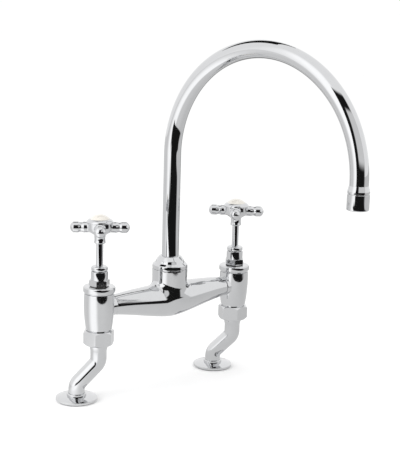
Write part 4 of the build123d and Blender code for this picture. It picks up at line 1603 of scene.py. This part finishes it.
@dataclass
class Leg(Sided):
    """A cranked leg with its union nut and deck fixings.

    Attributes:
        turn: Direction in which its foot stands off.
        nut_turn: Angle of one corner of the union nut.
    """

    turn: float
    nut_turn: float

    union_nut: HexagonNut = HexagonNut(18.5, 66.2, 83.2, chamfer=2.6, bore=10.56, pocket=13.25, floor=70.0)

    # Cranked tube, with the neck and the flare at its top
    offset: float = 25.0
    radius: float = 9.5
    bore: float = 7.0
    top: float = 72.5
    flare_radius: float = 12.9
    flare_bottom: float = 70.05
    neck_radius: float = 10.5
    neck_bottom: float = 63.0
    taper_bottom: float = 58.5
    taper_heel: float = 0.5
    overlap: float = 0.3
    upper_knee: float = 44.6
    lower_knee: float = 18.3
    bend: float = 14.0
    bottom: float = 2.0

    # Tail
    tail_radius: float = 10.48
    tail_root: float = 9.32
    tail_pitch: float = 1.814
    tail_bottom: float = -50.0
    tail_bore: float = 6.5
    thread_lead: float = 1.2
    thread_top: float = -1.0
    collar_radius: float = 11.3
    collar_bottom: float = 5.6
    collar_top: float = 8.6

    # Back nut, with one bore for the tail's thread all through
    thread_bore: float = tail_radius + THREAD_GAP
    back_nut: HexagonNut = HexagonNut(
        16.5, -35.0, -27.0, chamfer=0.8, bore=thread_bore, pocket=thread_bore, floor=-34.0
    )

    # Deck flange, whose swell is a radius and a height on its dome
    flange_radius: float = 24.0
    flange_bottom: float = 0.8
    flange_edge: float = 3.6
    flange_swell: tuple[float, float] = (17.5, 4.9)
    flange_bore: float = 10.6
    flange_inset: float = 0.6
    flange_drop: float = 0.2

    @property
    def foot(self) -> Vector:
        """Centre of the foot, seen from above."""
        a = math.radians(self.turn)
        return Vector((self.x + self.offset * math.cos(a), self.offset * math.sin(a), 0))

    def path(self) -> list[Vector]:
        """Centre line of the leg, with its two bends."""
        knees = [(0, self.upper_knee, self.bend), (self.offset, self.lower_knee, self.bend)]
        flat = Outline.rounded([(0, self.top), *knees, (self.offset, self.bottom)], steps=20)
        a = math.radians(self.turn)
        return [Vector((self.x + s * math.cos(a), s * math.sin(a), z)) for s, z in flat]

    def build(self) -> None:
        """Make the nuts, leg, tail and flange."""
        body = self.node("leg_set")
        union = self.on_axis(self.union_nut.cut(self.node("union"), self.nut_turn))
        self.piece("union", Body.MIXER.value, CHROME, "union_nut").finish_object(union)
        lock = self.back_nut.cut(self.node("lock_nut"), self.turn)
        lock.data.transform(Matrix.Translation(self.foot * MM))
        self.piece("lock_nut", body, BRASS, "back_nut").finish_object(lock)
        self.tube(body)
        self.tail(body)
        self.flange(body)

    def tube(self, body: str) -> None:
        """Sweep the cranked tube and turn the neck and flare at its top."""
        pipe = Pipe(self.radius, self.bore).along(self.path(), TUBE_CHROME)
        inner = self.radius - self.overlap
        corners = [
            (inner, self.top), (self.flare_radius, self.top, 0.3),
            (self.flare_radius, self.flare_bottom, 0.3), (self.neck_radius, self.flare_bottom),
            (self.neck_radius, self.neck_bottom, 1.5),
            (self.radius, self.taper_bottom), (inner, self.taper_bottom - self.taper_heel),
        ]
        Carving.combine(pipe, Turning.ring(corners, 96).moved(self.x, 0), "UNION")
        self.piece("cranked_leg", body, TUBE_CHROME, "leg").finish_object(pipe)

    def tail(self, body: str) -> None:
        """Turn the tail and wind its thread."""
        corners = [
            (self.tail_bore, self.tail_bottom, 0.3), (self.tail_root, self.tail_bottom, 0.5),
            (self.tail_root, self.thread_top), (self.tail_radius, self.thread_top),
            (self.tail_radius, self.collar_bottom), (self.collar_radius, self.collar_bottom),
            (self.collar_radius, self.collar_top, 0.9), (self.radius, self.collar_top, 0.2),
            (self.radius, self.bottom), (self.tail_bore, self.bottom),
        ]
        obj = Carving.object_of(Turning.ring(corners, 96), self.node("threaded_tail"))
        start = self.tail_bottom + self.thread_lead
        ridge = Thread(self.tail_radius, self.tail_root, self.tail_pitch, start, self.thread_top).ridge(BRASS)
        ridge.data.transform(Matrix.Translation((0, 0, start * MM)))
        turned_outwards(obj.data, ridge.data)
        bpy.data.objects.remove(ridge)
        obj.data.transform(Matrix.Translation(self.foot * MM))
        self.piece("threaded_tail", body, CHROME, "tail").finish_object(obj)

    def flange(self, body: str) -> None:
        """Turn the gently domed deck flange."""
        rim = (self.flange_radius - self.flange_inset, self.flange_edge)
        corners = [
            (self.flange_bore, self.flange_bottom), (self.flange_radius, self.flange_bottom, 0.5),
            (self.flange_radius, self.flange_edge - self.flange_drop, 0.5),
            *Outline.curve([rim, self.flange_swell, (self.collar_radius, self.collar_bottom)]),
            (self.flange_bore, self.collar_bottom),
        ]
        ring = Turning.ring(corners, 160).moved(self.foot.x, self.foot.y)
        self.piece("deck_plate", body, CHROME, "deck_flange").make(ring)


@dataclass
class CarriedNodes:
    """The frame's own nodes that stay, with a finish for each kind."""

    finishes: dict[str, Finish] = field(
        default_factory=lambda: {f.slot: f for f in (CHROME, PORCELAIN, BRASS, STEEL, RUBBER, FIBRE, PLASTIC)}
    )

    def dress(self) -> None:
        """Give every node that still shows the finish of its material slot."""
        slots = {part["node"]: part["material_slot"] for part in frame["record"]["subparts"]}
        for name, obj in frame["nodes"].items():
            if obj.hide_render:
                continue
            obj.data.materials.clear()
            obj.data.materials.append(self.finishes[slots[name]].material())
            LOG.info("%s: kept from the frame, %s", name, slots[name])


# Studio


@dataclass(frozen=True)
class Glow:
    """Painted light and shade on cards that only reflections show: soft-edged glowing and dark patterns.

    Places are metres from the spout's axis. An edge is its place and its softness, and a band is its low
    edge, its high edge and their softness.

    Attributes:
        grey: Brightness of the plain room.
        white: Brightness of the large softbox.
        board: Brightness of the table's plain painted glow.
        spill: Brightness of the painted pool of light on the table beside the softbox.
        dark_reflection: Brightness of the dark cards that paint dark reflections.
        softbox_slopes: Slopes of y to -x between which the softbox stands.
        softbox_start: Edge in -x from which it stands.
        softbox_top: Edge in the slope of z to -x where it ends.
        table_edge_centre: How far back the centre of the table's round front edge lies.
        table_edge: Radius of that edge.
        floor_right: Edge in x where the dark floor past the table ends.
        floor_left: Edge in x where it begins.
        floor_front: Edge in -y from which it lies.
        floor_dark: How much darker it is than the table.
        spill_start: Place in -x from which the spill's slopes count.
        spill_slopes: Slopes of y to -x between which the table is bright.
        spill_edge: Edge in -x from which it is bright.
        right_fall: Edge in x where the table's painted light begins to fall off on the right.
        right_dim: How much darker the painted falloff makes it there.
        behind_x: Edge in x of the patch of painted shade at the table's back.
        behind_y: Band in y of that patch.
        behind_dim: How much darker the painted shade makes the patch.
        screen_left: Edge in x where the screen begins.
        screen_tall: Edge in x from which it is tall.
        screen_low: Height of its low part.
        screen_rise: How much higher its tall part is.
        screen_right: Place in x where it ends near the table.
        screen_notch: Edge in z above which it ends further left.
        screen_cut: How much further left that is.
        screen_softness: Softness of its top and its right edge.
        window_x: Band in x of the lit window in the screen.
        window_z: Band in z of that window.
        window_light: How far the window clears the screen.
    """

    grey: float = 1.12
    white: float = 1.55
    board: float = 0.88
    spill: float = 1.5
    dark_reflection: float = 0.012
    softbox_slopes: Band = (-0.62, 0.34, 0.6)
    softbox_start: Edge = (0.02, 0.04)
    softbox_top: Edge = (1.6, 1.6)
    table_edge_centre: float = 0.78
    table_edge: Edge = (1.305, 0.02)
    floor_right: Edge = (0.50, 0.25)
    floor_left: Edge = (-1.1, 0.2)
    floor_front: Edge = (0.1, 0.1)
    floor_dark: float = 0.985
    spill_start: float = 0.06
    spill_slopes: Band = (-0.75, 0.30, 0.7)
    spill_edge: Edge = (0.15, 0.1)
    right_fall: Edge = (0.05, 0.5)
    right_dim: float = 0.12
    behind_x: Edge = (0.20, 0.06)
    behind_y: Band = (0.22, 0.70, 0.1)
    behind_dim: float = 0.65
    screen_left: Edge = (-0.80, 0.16)
    screen_tall: Edge = (-0.56, 0.12)
    screen_low: float = 0.12
    screen_rise: float = 0.71
    screen_right: float = 0.35
    screen_notch: Edge = (0.17, 0.05)
    screen_cut: float = 0.21
    screen_softness: float = 0.1
    window_x: Band = (-0.22, 0.14, 0.06)
    window_z: Band = (0.31, 0.62, 0.05)
    window_light: float = 0.75

    def step(self, value: Wire, edge: Edge) -> Wire:
        """Rise smoothly from 0 to 1 where a value passes an edge."""
        place, softness = edge
        settings = {"interpolation_type": "SMOOTHSTEP", "clamp": True}
        sockets = {"Value": value, "From Min": place - softness / 2, "From Max": place + softness / 2}
        return value.graph.node("ShaderNodeMapRange", settings, sockets)

    def band(self, value: Wire, band: Band) -> Wire:
        """Be 1 between two edges and 0 outside them."""
        low, high, softness = band
        return self.step(value, (low, softness)) * (1.0 - self.step(value, (high, softness)))

    def axes(self, graph: Graph) -> tuple[Wire, Wire, Wire]:
        """The surface point's x, y and z in metres."""
        place = graph.node("ShaderNodeTexCoord", output="Object")
        split = graph.node("ShaderNodeSeparateXYZ", {}, {0: place})
        node = split.socket.node
        return split, Wire(graph, node.outputs[1]), Wire(graph, node.outputs[2])

    def material(self, name: str, paint: Callable[[Graph], Wire]) -> bpy.types.Material:
        """Make an emission material from a pattern.

        Args:
            name: The material's name.
            paint: Builds the pattern's brightness.

        Returns:
            The material.
        """
        material, graph = Graph.of_material(name)
        level = paint(graph)
        colour = graph.node("ShaderNodeCombineXYZ", {}, {0: level, 1: level, 2: level})
        shader = graph.node("ShaderNodeEmission", {}, {"Color": colour, "Strength": 1.0})
        graph.node("ShaderNodeOutputMaterial", {}, {"Surface": shader})
        return material

    def cut_out(self, name: str, mask: Callable[[Graph], Wire] | None = None) -> bpy.types.Material:
        """Make a dark card that paints a dark reflection, clear where its mask is 0.

        Args:
            name: The material's name.
            mask: Builds the dark card's cover from 0 to 1; without it the card is whole.

        Returns:
            The material.
        """
        material, graph = Graph.of_material(name)
        # Painted dark reflection: a faint glow that only reflection rays see.
        dark_reflection = graph.node("ShaderNodeEmission", {}, {"Color": (1.0, 1.0, 1.0, 1.0), "Strength": self.dark_reflection})
        clear = graph.node("ShaderNodeBsdfTransparent")
        cover = mask(graph) if mask else 1.0
        mixed = graph.node("ShaderNodeMixShader", {}, {0: cover, 1: clear, 2: dark_reflection})
        graph.node("ShaderNodeOutputMaterial", {}, {"Surface": mixed})
        return material

    def room(self, graph: Graph) -> Wire:
        """Painted reflection of glowing walls and ceiling, with a painted softbox on the left."""
        x, y, z = self.axes(graph)
        left = x * -1.0
        side = self.band(y / left, self.softbox_slopes) * self.step(left, self.softbox_start)
        softbox = side * (1.0 - self.step(z / left, self.softbox_top))
        return self.grey + softbox * (self.white - self.grey)

    def screen(self, graph: Graph) -> Wire:
        """Painted dark reflection of a screen on the table's front edge, with a painted lit window; its left
        part is low.
        """
        x, _, z = self.axes(graph)
        fade = (0.0, self.screen_softness)
        top = self.screen_low + self.step(x, self.screen_tall) * self.screen_rise
        right = self.screen_right - self.step(z, self.screen_notch) * self.screen_cut
        above, past = self.step(z - top, fade), self.step(x - right, fade)
        shade = (1.0 - above) * self.step(x, self.screen_left) * (1.0 - past)
        window = self.band(x, self.window_x) * self.band(z, self.window_z)
        return graph.node("ShaderNodeClamp", {}, {"Value": shade * (1.0 - window * self.window_light)})

    def table(self, graph: Graph) -> Wire:
        """The painted reflection of a pale table: a painted pool of light by the softbox, painted shade at
        the back, and the dark floor past its edge.
        """
        x, y, _ = self.axes(graph)
        left = x * -1.0
        reach = (x * x + (y - self.table_edge_centre) ** 2.0) ** 0.5
        across = (1.0 - self.step(x, self.floor_right)) * self.step(x, self.floor_left)
        floor = self.step(reach, self.table_edge) * across * self.step(y * -1.0, self.floor_front)
        # Painted light and shade on the reflected table: a pool of light by the softbox, a falloff on the
        # right and a shaded patch at the back.
        spill = self.band(y / (left - self.spill_start), self.spill_slopes) * self.step(left, self.spill_edge)
        fall = self.step(x, self.right_fall) * self.right_dim
        lit = self.board - fall + spill * (self.spill - self.board)
        behind = self.step(x, self.behind_x) * self.band(y, self.behind_y)
        return lit * (1.0 - floor * self.floor_dark) * (1.0 - behind * self.behind_dim)


@dataclass
class Studio:
    """A pale floor, soft light and the camera.

    Attributes:
        eye: The camera's place in millimetres.
        yaw: The camera's turn from straight ahead, in radians.
        pitch: Its tilt, in radians.
        roll: Its roll, in radians.
        focal_pixels: Its focal length in pixels of the frame.
        frame_height: The frame's height in pixels.
        sensor: The sensor's width in millimetres.
        floor_size: Side of the floor in metres, as are the next sizes.
        floor_height: Height of the floor.
        floor_shade: Grey of the floor.
        table_height: Height of the table that is seen in reflections.
        room_radius: Radius of the room.
        room_light: Strength of the light all round.
        screen_turns: First and last angle of the screen round the centre of the table's edge.
        screen_steps: Faces along the screen.
        screen_rows: Heights of the screen's rows of points.
        bar_ends: Left and right end of the dark bar at the back.
        bar_depth: How far back it stands.
        bar_lower: Heights of its lower edge at both ends.
        bar_upper: Heights of its upper edge at both ends.
        aim: The point that the lamps look at.
    """

    eye: Place = (-813.722, -1077.990, 472.732)
    yaw: float = 0.672
    pitch: float = -0.202
    roll: float = 0.029
    focal_pixels: float = 1168.289
    frame_height: int = 450
    sensor: float = 36.0
    floor_size: float = 40.0
    floor_height: float = -0.0002
    floor_shade: float = 0.97
    table_height: float = 0.0003
    room_radius: float = 4.0
    room_light: float = 1.04
    screen_turns: tuple[float, float] = (-150.0, -60.0)
    screen_steps: int = 60
    screen_rows: Place = (0.0, 0.45, 0.95)
    bar_ends: tuple[float, float] = (-0.15, 0.75)
    bar_depth: float = 0.425
    bar_lower: tuple[float, float] = (0.69, 1.08)
    bar_upper: tuple[float, float] = (1.62, 1.24)
    aim: Place = (0.0, -0.1, 0.2)

    def build(self) -> None:
        """Set up the whole studio."""
        bpy.context.scene.view_settings.view_transform = "Standard"
        self.camera()
        self.floor()
        self.world()
        self.reflections()
        self.lamp("overhead", (-0.3, 0.1, 1.7), size=1.2, power=4.0)
        self.lamp("softbox", (-1.25, -0.05, 0.55), size=0.7, power=5.0)

    def camera(self) -> None:
        """Place the camera where the photograph was taken from."""
        data = bpy.data.cameras.new("camera")
        data.sensor_width = self.sensor
        data.lens = self.focal_pixels * self.sensor / self.frame_height
        data.clip_start = 0.05
        data.clip_end = 60.0
        level = Vector((math.sin(self.yaw), math.cos(self.yaw), 0))
        ahead = level * math.cos(self.pitch) + Vector((0, 0, math.sin(self.pitch)))
        right = Vector((level.y, -level.x, 0))
        up = right.cross(ahead)
        rolled = right * math.cos(self.roll) + up * math.sin(self.roll)
        upright = up * math.cos(self.roll) - right * math.sin(self.roll)
        turn = Matrix((rolled, upright, -ahead)).transposed().to_4x4()
        camera = linked("camera", data)
        camera.matrix_world = Matrix.Translation(Vector(self.eye) * MM) @ turn
        bpy.context.scene.camera = camera

    def sheet(self, name: str, size: float, height: float) -> bpy.types.Object:
        """A square level sheet centred under the mixer, in metres."""
        half = size / 2
        mesh = bpy.data.meshes.new(name)
        corners = [(-half, -half, height), (half, -half, height), (half, half, height), (-half, half, height)]
        mesh.from_pydata(corners, [], [(0, 1, 2, 3)])
        return linked(name, mesh)

    def floor(self) -> None:
        """Lay the pale floor at deck height."""
        floor = self.sheet("floor", self.floor_size, self.floor_height)
        material = bpy.data.materials.new("pale_floor")
        material.use_nodes = True
        shader = material.node_tree.nodes["Principled BSDF"]
        shader.inputs["Base Color"].default_value = (self.floor_shade,) * 3 + (1.0,)
        shader.inputs["Roughness"].default_value = 0.9
        shader.inputs["Specular IOR Level"].default_value = 0.0
        floor.data.materials.append(material)
        floor.visible_glossy = False

    def world(self) -> None:
        """Fill the room with soft white light."""
        world = bpy.data.worlds.new("room")
        world.use_nodes = True
        world.node_tree.nodes.clear()
        graph = Graph(world.node_tree)
        sockets = {"Color": (1.0, 1.0, 1.0, 1.0), "Strength": self.room_light}
        light = graph.node("ShaderNodeBackground", {}, sockets)
        graph.node("ShaderNodeOutputWorld", {}, {"Surface": light})
        bpy.context.scene.world = world

    def reflections(self) -> None:
        """Surround the mixer with painted reflections: glowing room and table cards and dark screen and bar
        cards that only polished metal shows.
        """
        glow = Glow()
        table = self.sheet("reflected_table", 2 * self.room_radius, self.table_height)
        table.data.materials.append(glow.material("table_glow", glow.table))
        work = bmesh.new()
        bmesh.ops.create_icosphere(work, subdivisions=5, radius=self.room_radius)
        mesh = bpy.data.meshes.new("reflected_room")
        work.to_mesh(mesh)
        work.free()
        mesh.materials.append(glow.material("room_glow", glow.room))
        # These cards paint reflections only: no camera, diffuse or shadow ray sees them.
        for card in (table, linked("reflected_room", mesh), self.screen(glow), self.back_bar(glow)):
            card.visible_camera = False
            card.visible_diffuse = False
            card.visible_shadow = False
            card.visible_transmission = False

    def card(self, name: str, rows: list[list[Place]], material: bpy.types.Material) -> bpy.types.Object:
        """A card through rows of points in metres."""
        width = len(rows[0])
        starts = [r * width + c for r in range(len(rows) - 1) for c in range(width - 1)]
        mesh = bpy.data.meshes.new(name)
        faces = [(i, i + 1, i + width + 1, i + width) for i in starts]
        mesh.from_pydata([point for row in rows for point in row], [], faces)
        mesh.materials.append(material)
        return linked(name, mesh)

    def screen(self, glow: Glow) -> bpy.types.Object:
        """The dark card on the table's curved front edge that paints a dark reflection."""
        first, last = self.screen_turns
        steps = range(self.screen_steps + 1)
        turns = [math.radians(first + (last - first) * s / self.screen_steps) for s in steps]
        centre, radius = glow.table_edge_centre, glow.table_edge[0]
        foot = [(radius * math.cos(a), centre + radius * math.sin(a)) for a in turns]
        rows = [[(x, y, height) for x, y in foot] for height in self.screen_rows]
        return self.card("reflected_screen", rows, glow.cut_out("screen_cloth", glow.screen))

    def back_bar(self, glow: Glow) -> bpy.types.Object:
        """The dark card behind the mixer that paints a dark reflection."""
        edges = (self.bar_lower, self.bar_upper)
        rows = [[(x, self.bar_depth, z) for x, z in zip(self.bar_ends, edge)] for edge in edges]
        return self.card("back_bar", rows, glow.cut_out("bar_cloth"))

    def lamp(self, name: str, place: Place, size: float, power: float) -> None:
        """Add one soft square light aimed at the mixer.

        Args:
            name: The light's name.
            place: Its place in metres.
            size: The length of its side in metres.
            power: Its power in watts.
        """
        data = bpy.data.lights.new(name, "AREA")
        data.shape = "SQUARE"
        data.size = size
        data.energy = power
        lamp = linked(name, data)
        aim = Vector(self.aim) - Vector(place)
        lamp.matrix_world = Matrix.Translation(place) @ aim.to_track_quat("-Z", "Y").to_matrix().to_4x4()
        lamp.visible_glossy = False


@dataclass(frozen=True)
class Setting:
    """How the pieces of one side are turned.

    Attributes:
        side: The side.
        x: Place of its valve's axis, from the spout's axis.
        hexagon: Angle of one corner of the bonnet's hexagon.
        handle: Angle of one arm of the handle.
        leg: Direction in which the leg's foot stands off.
        union_nut: Angle of one corner of the union nut.
    """

    side: Side
    x: float
    hexagon: float
    handle: float
    leg: float
    union_nut: float

    def build(self) -> None:
        """Build the valve, the handle and the leg of this side."""
        Valve(self.side, self.x, self.hexagon).build()
        Handle(self.side, self.x, self.handle).build()
        Leg(self.side, self.x, self.leg, self.union_nut).build()


SETTINGS = (
    Setting(Side.LEFT, x=-100.0, hexagon=40.0, handle=56.5, leg=153.8, union_nut=44.5),
    Setting(Side.RIGHT, x=100.0, hexagon=53.0, handle=47.0, leg=119.4, union_nut=9.0),
)


def main() -> None:
    """Build the mixer round the frame, then the studio."""
    logging.basicConfig(level=logging.INFO, format="%(message)s")
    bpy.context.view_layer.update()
    BridgeCasting().build()
    SpoutFoot().build()
    Spout().build()
    for setting in SETTINGS:
        setting.build()
    CarriedNodes().dress()
    Studio().build()
    bpy.context.view_layer.update()


if __name__ == "__main__":
    main()
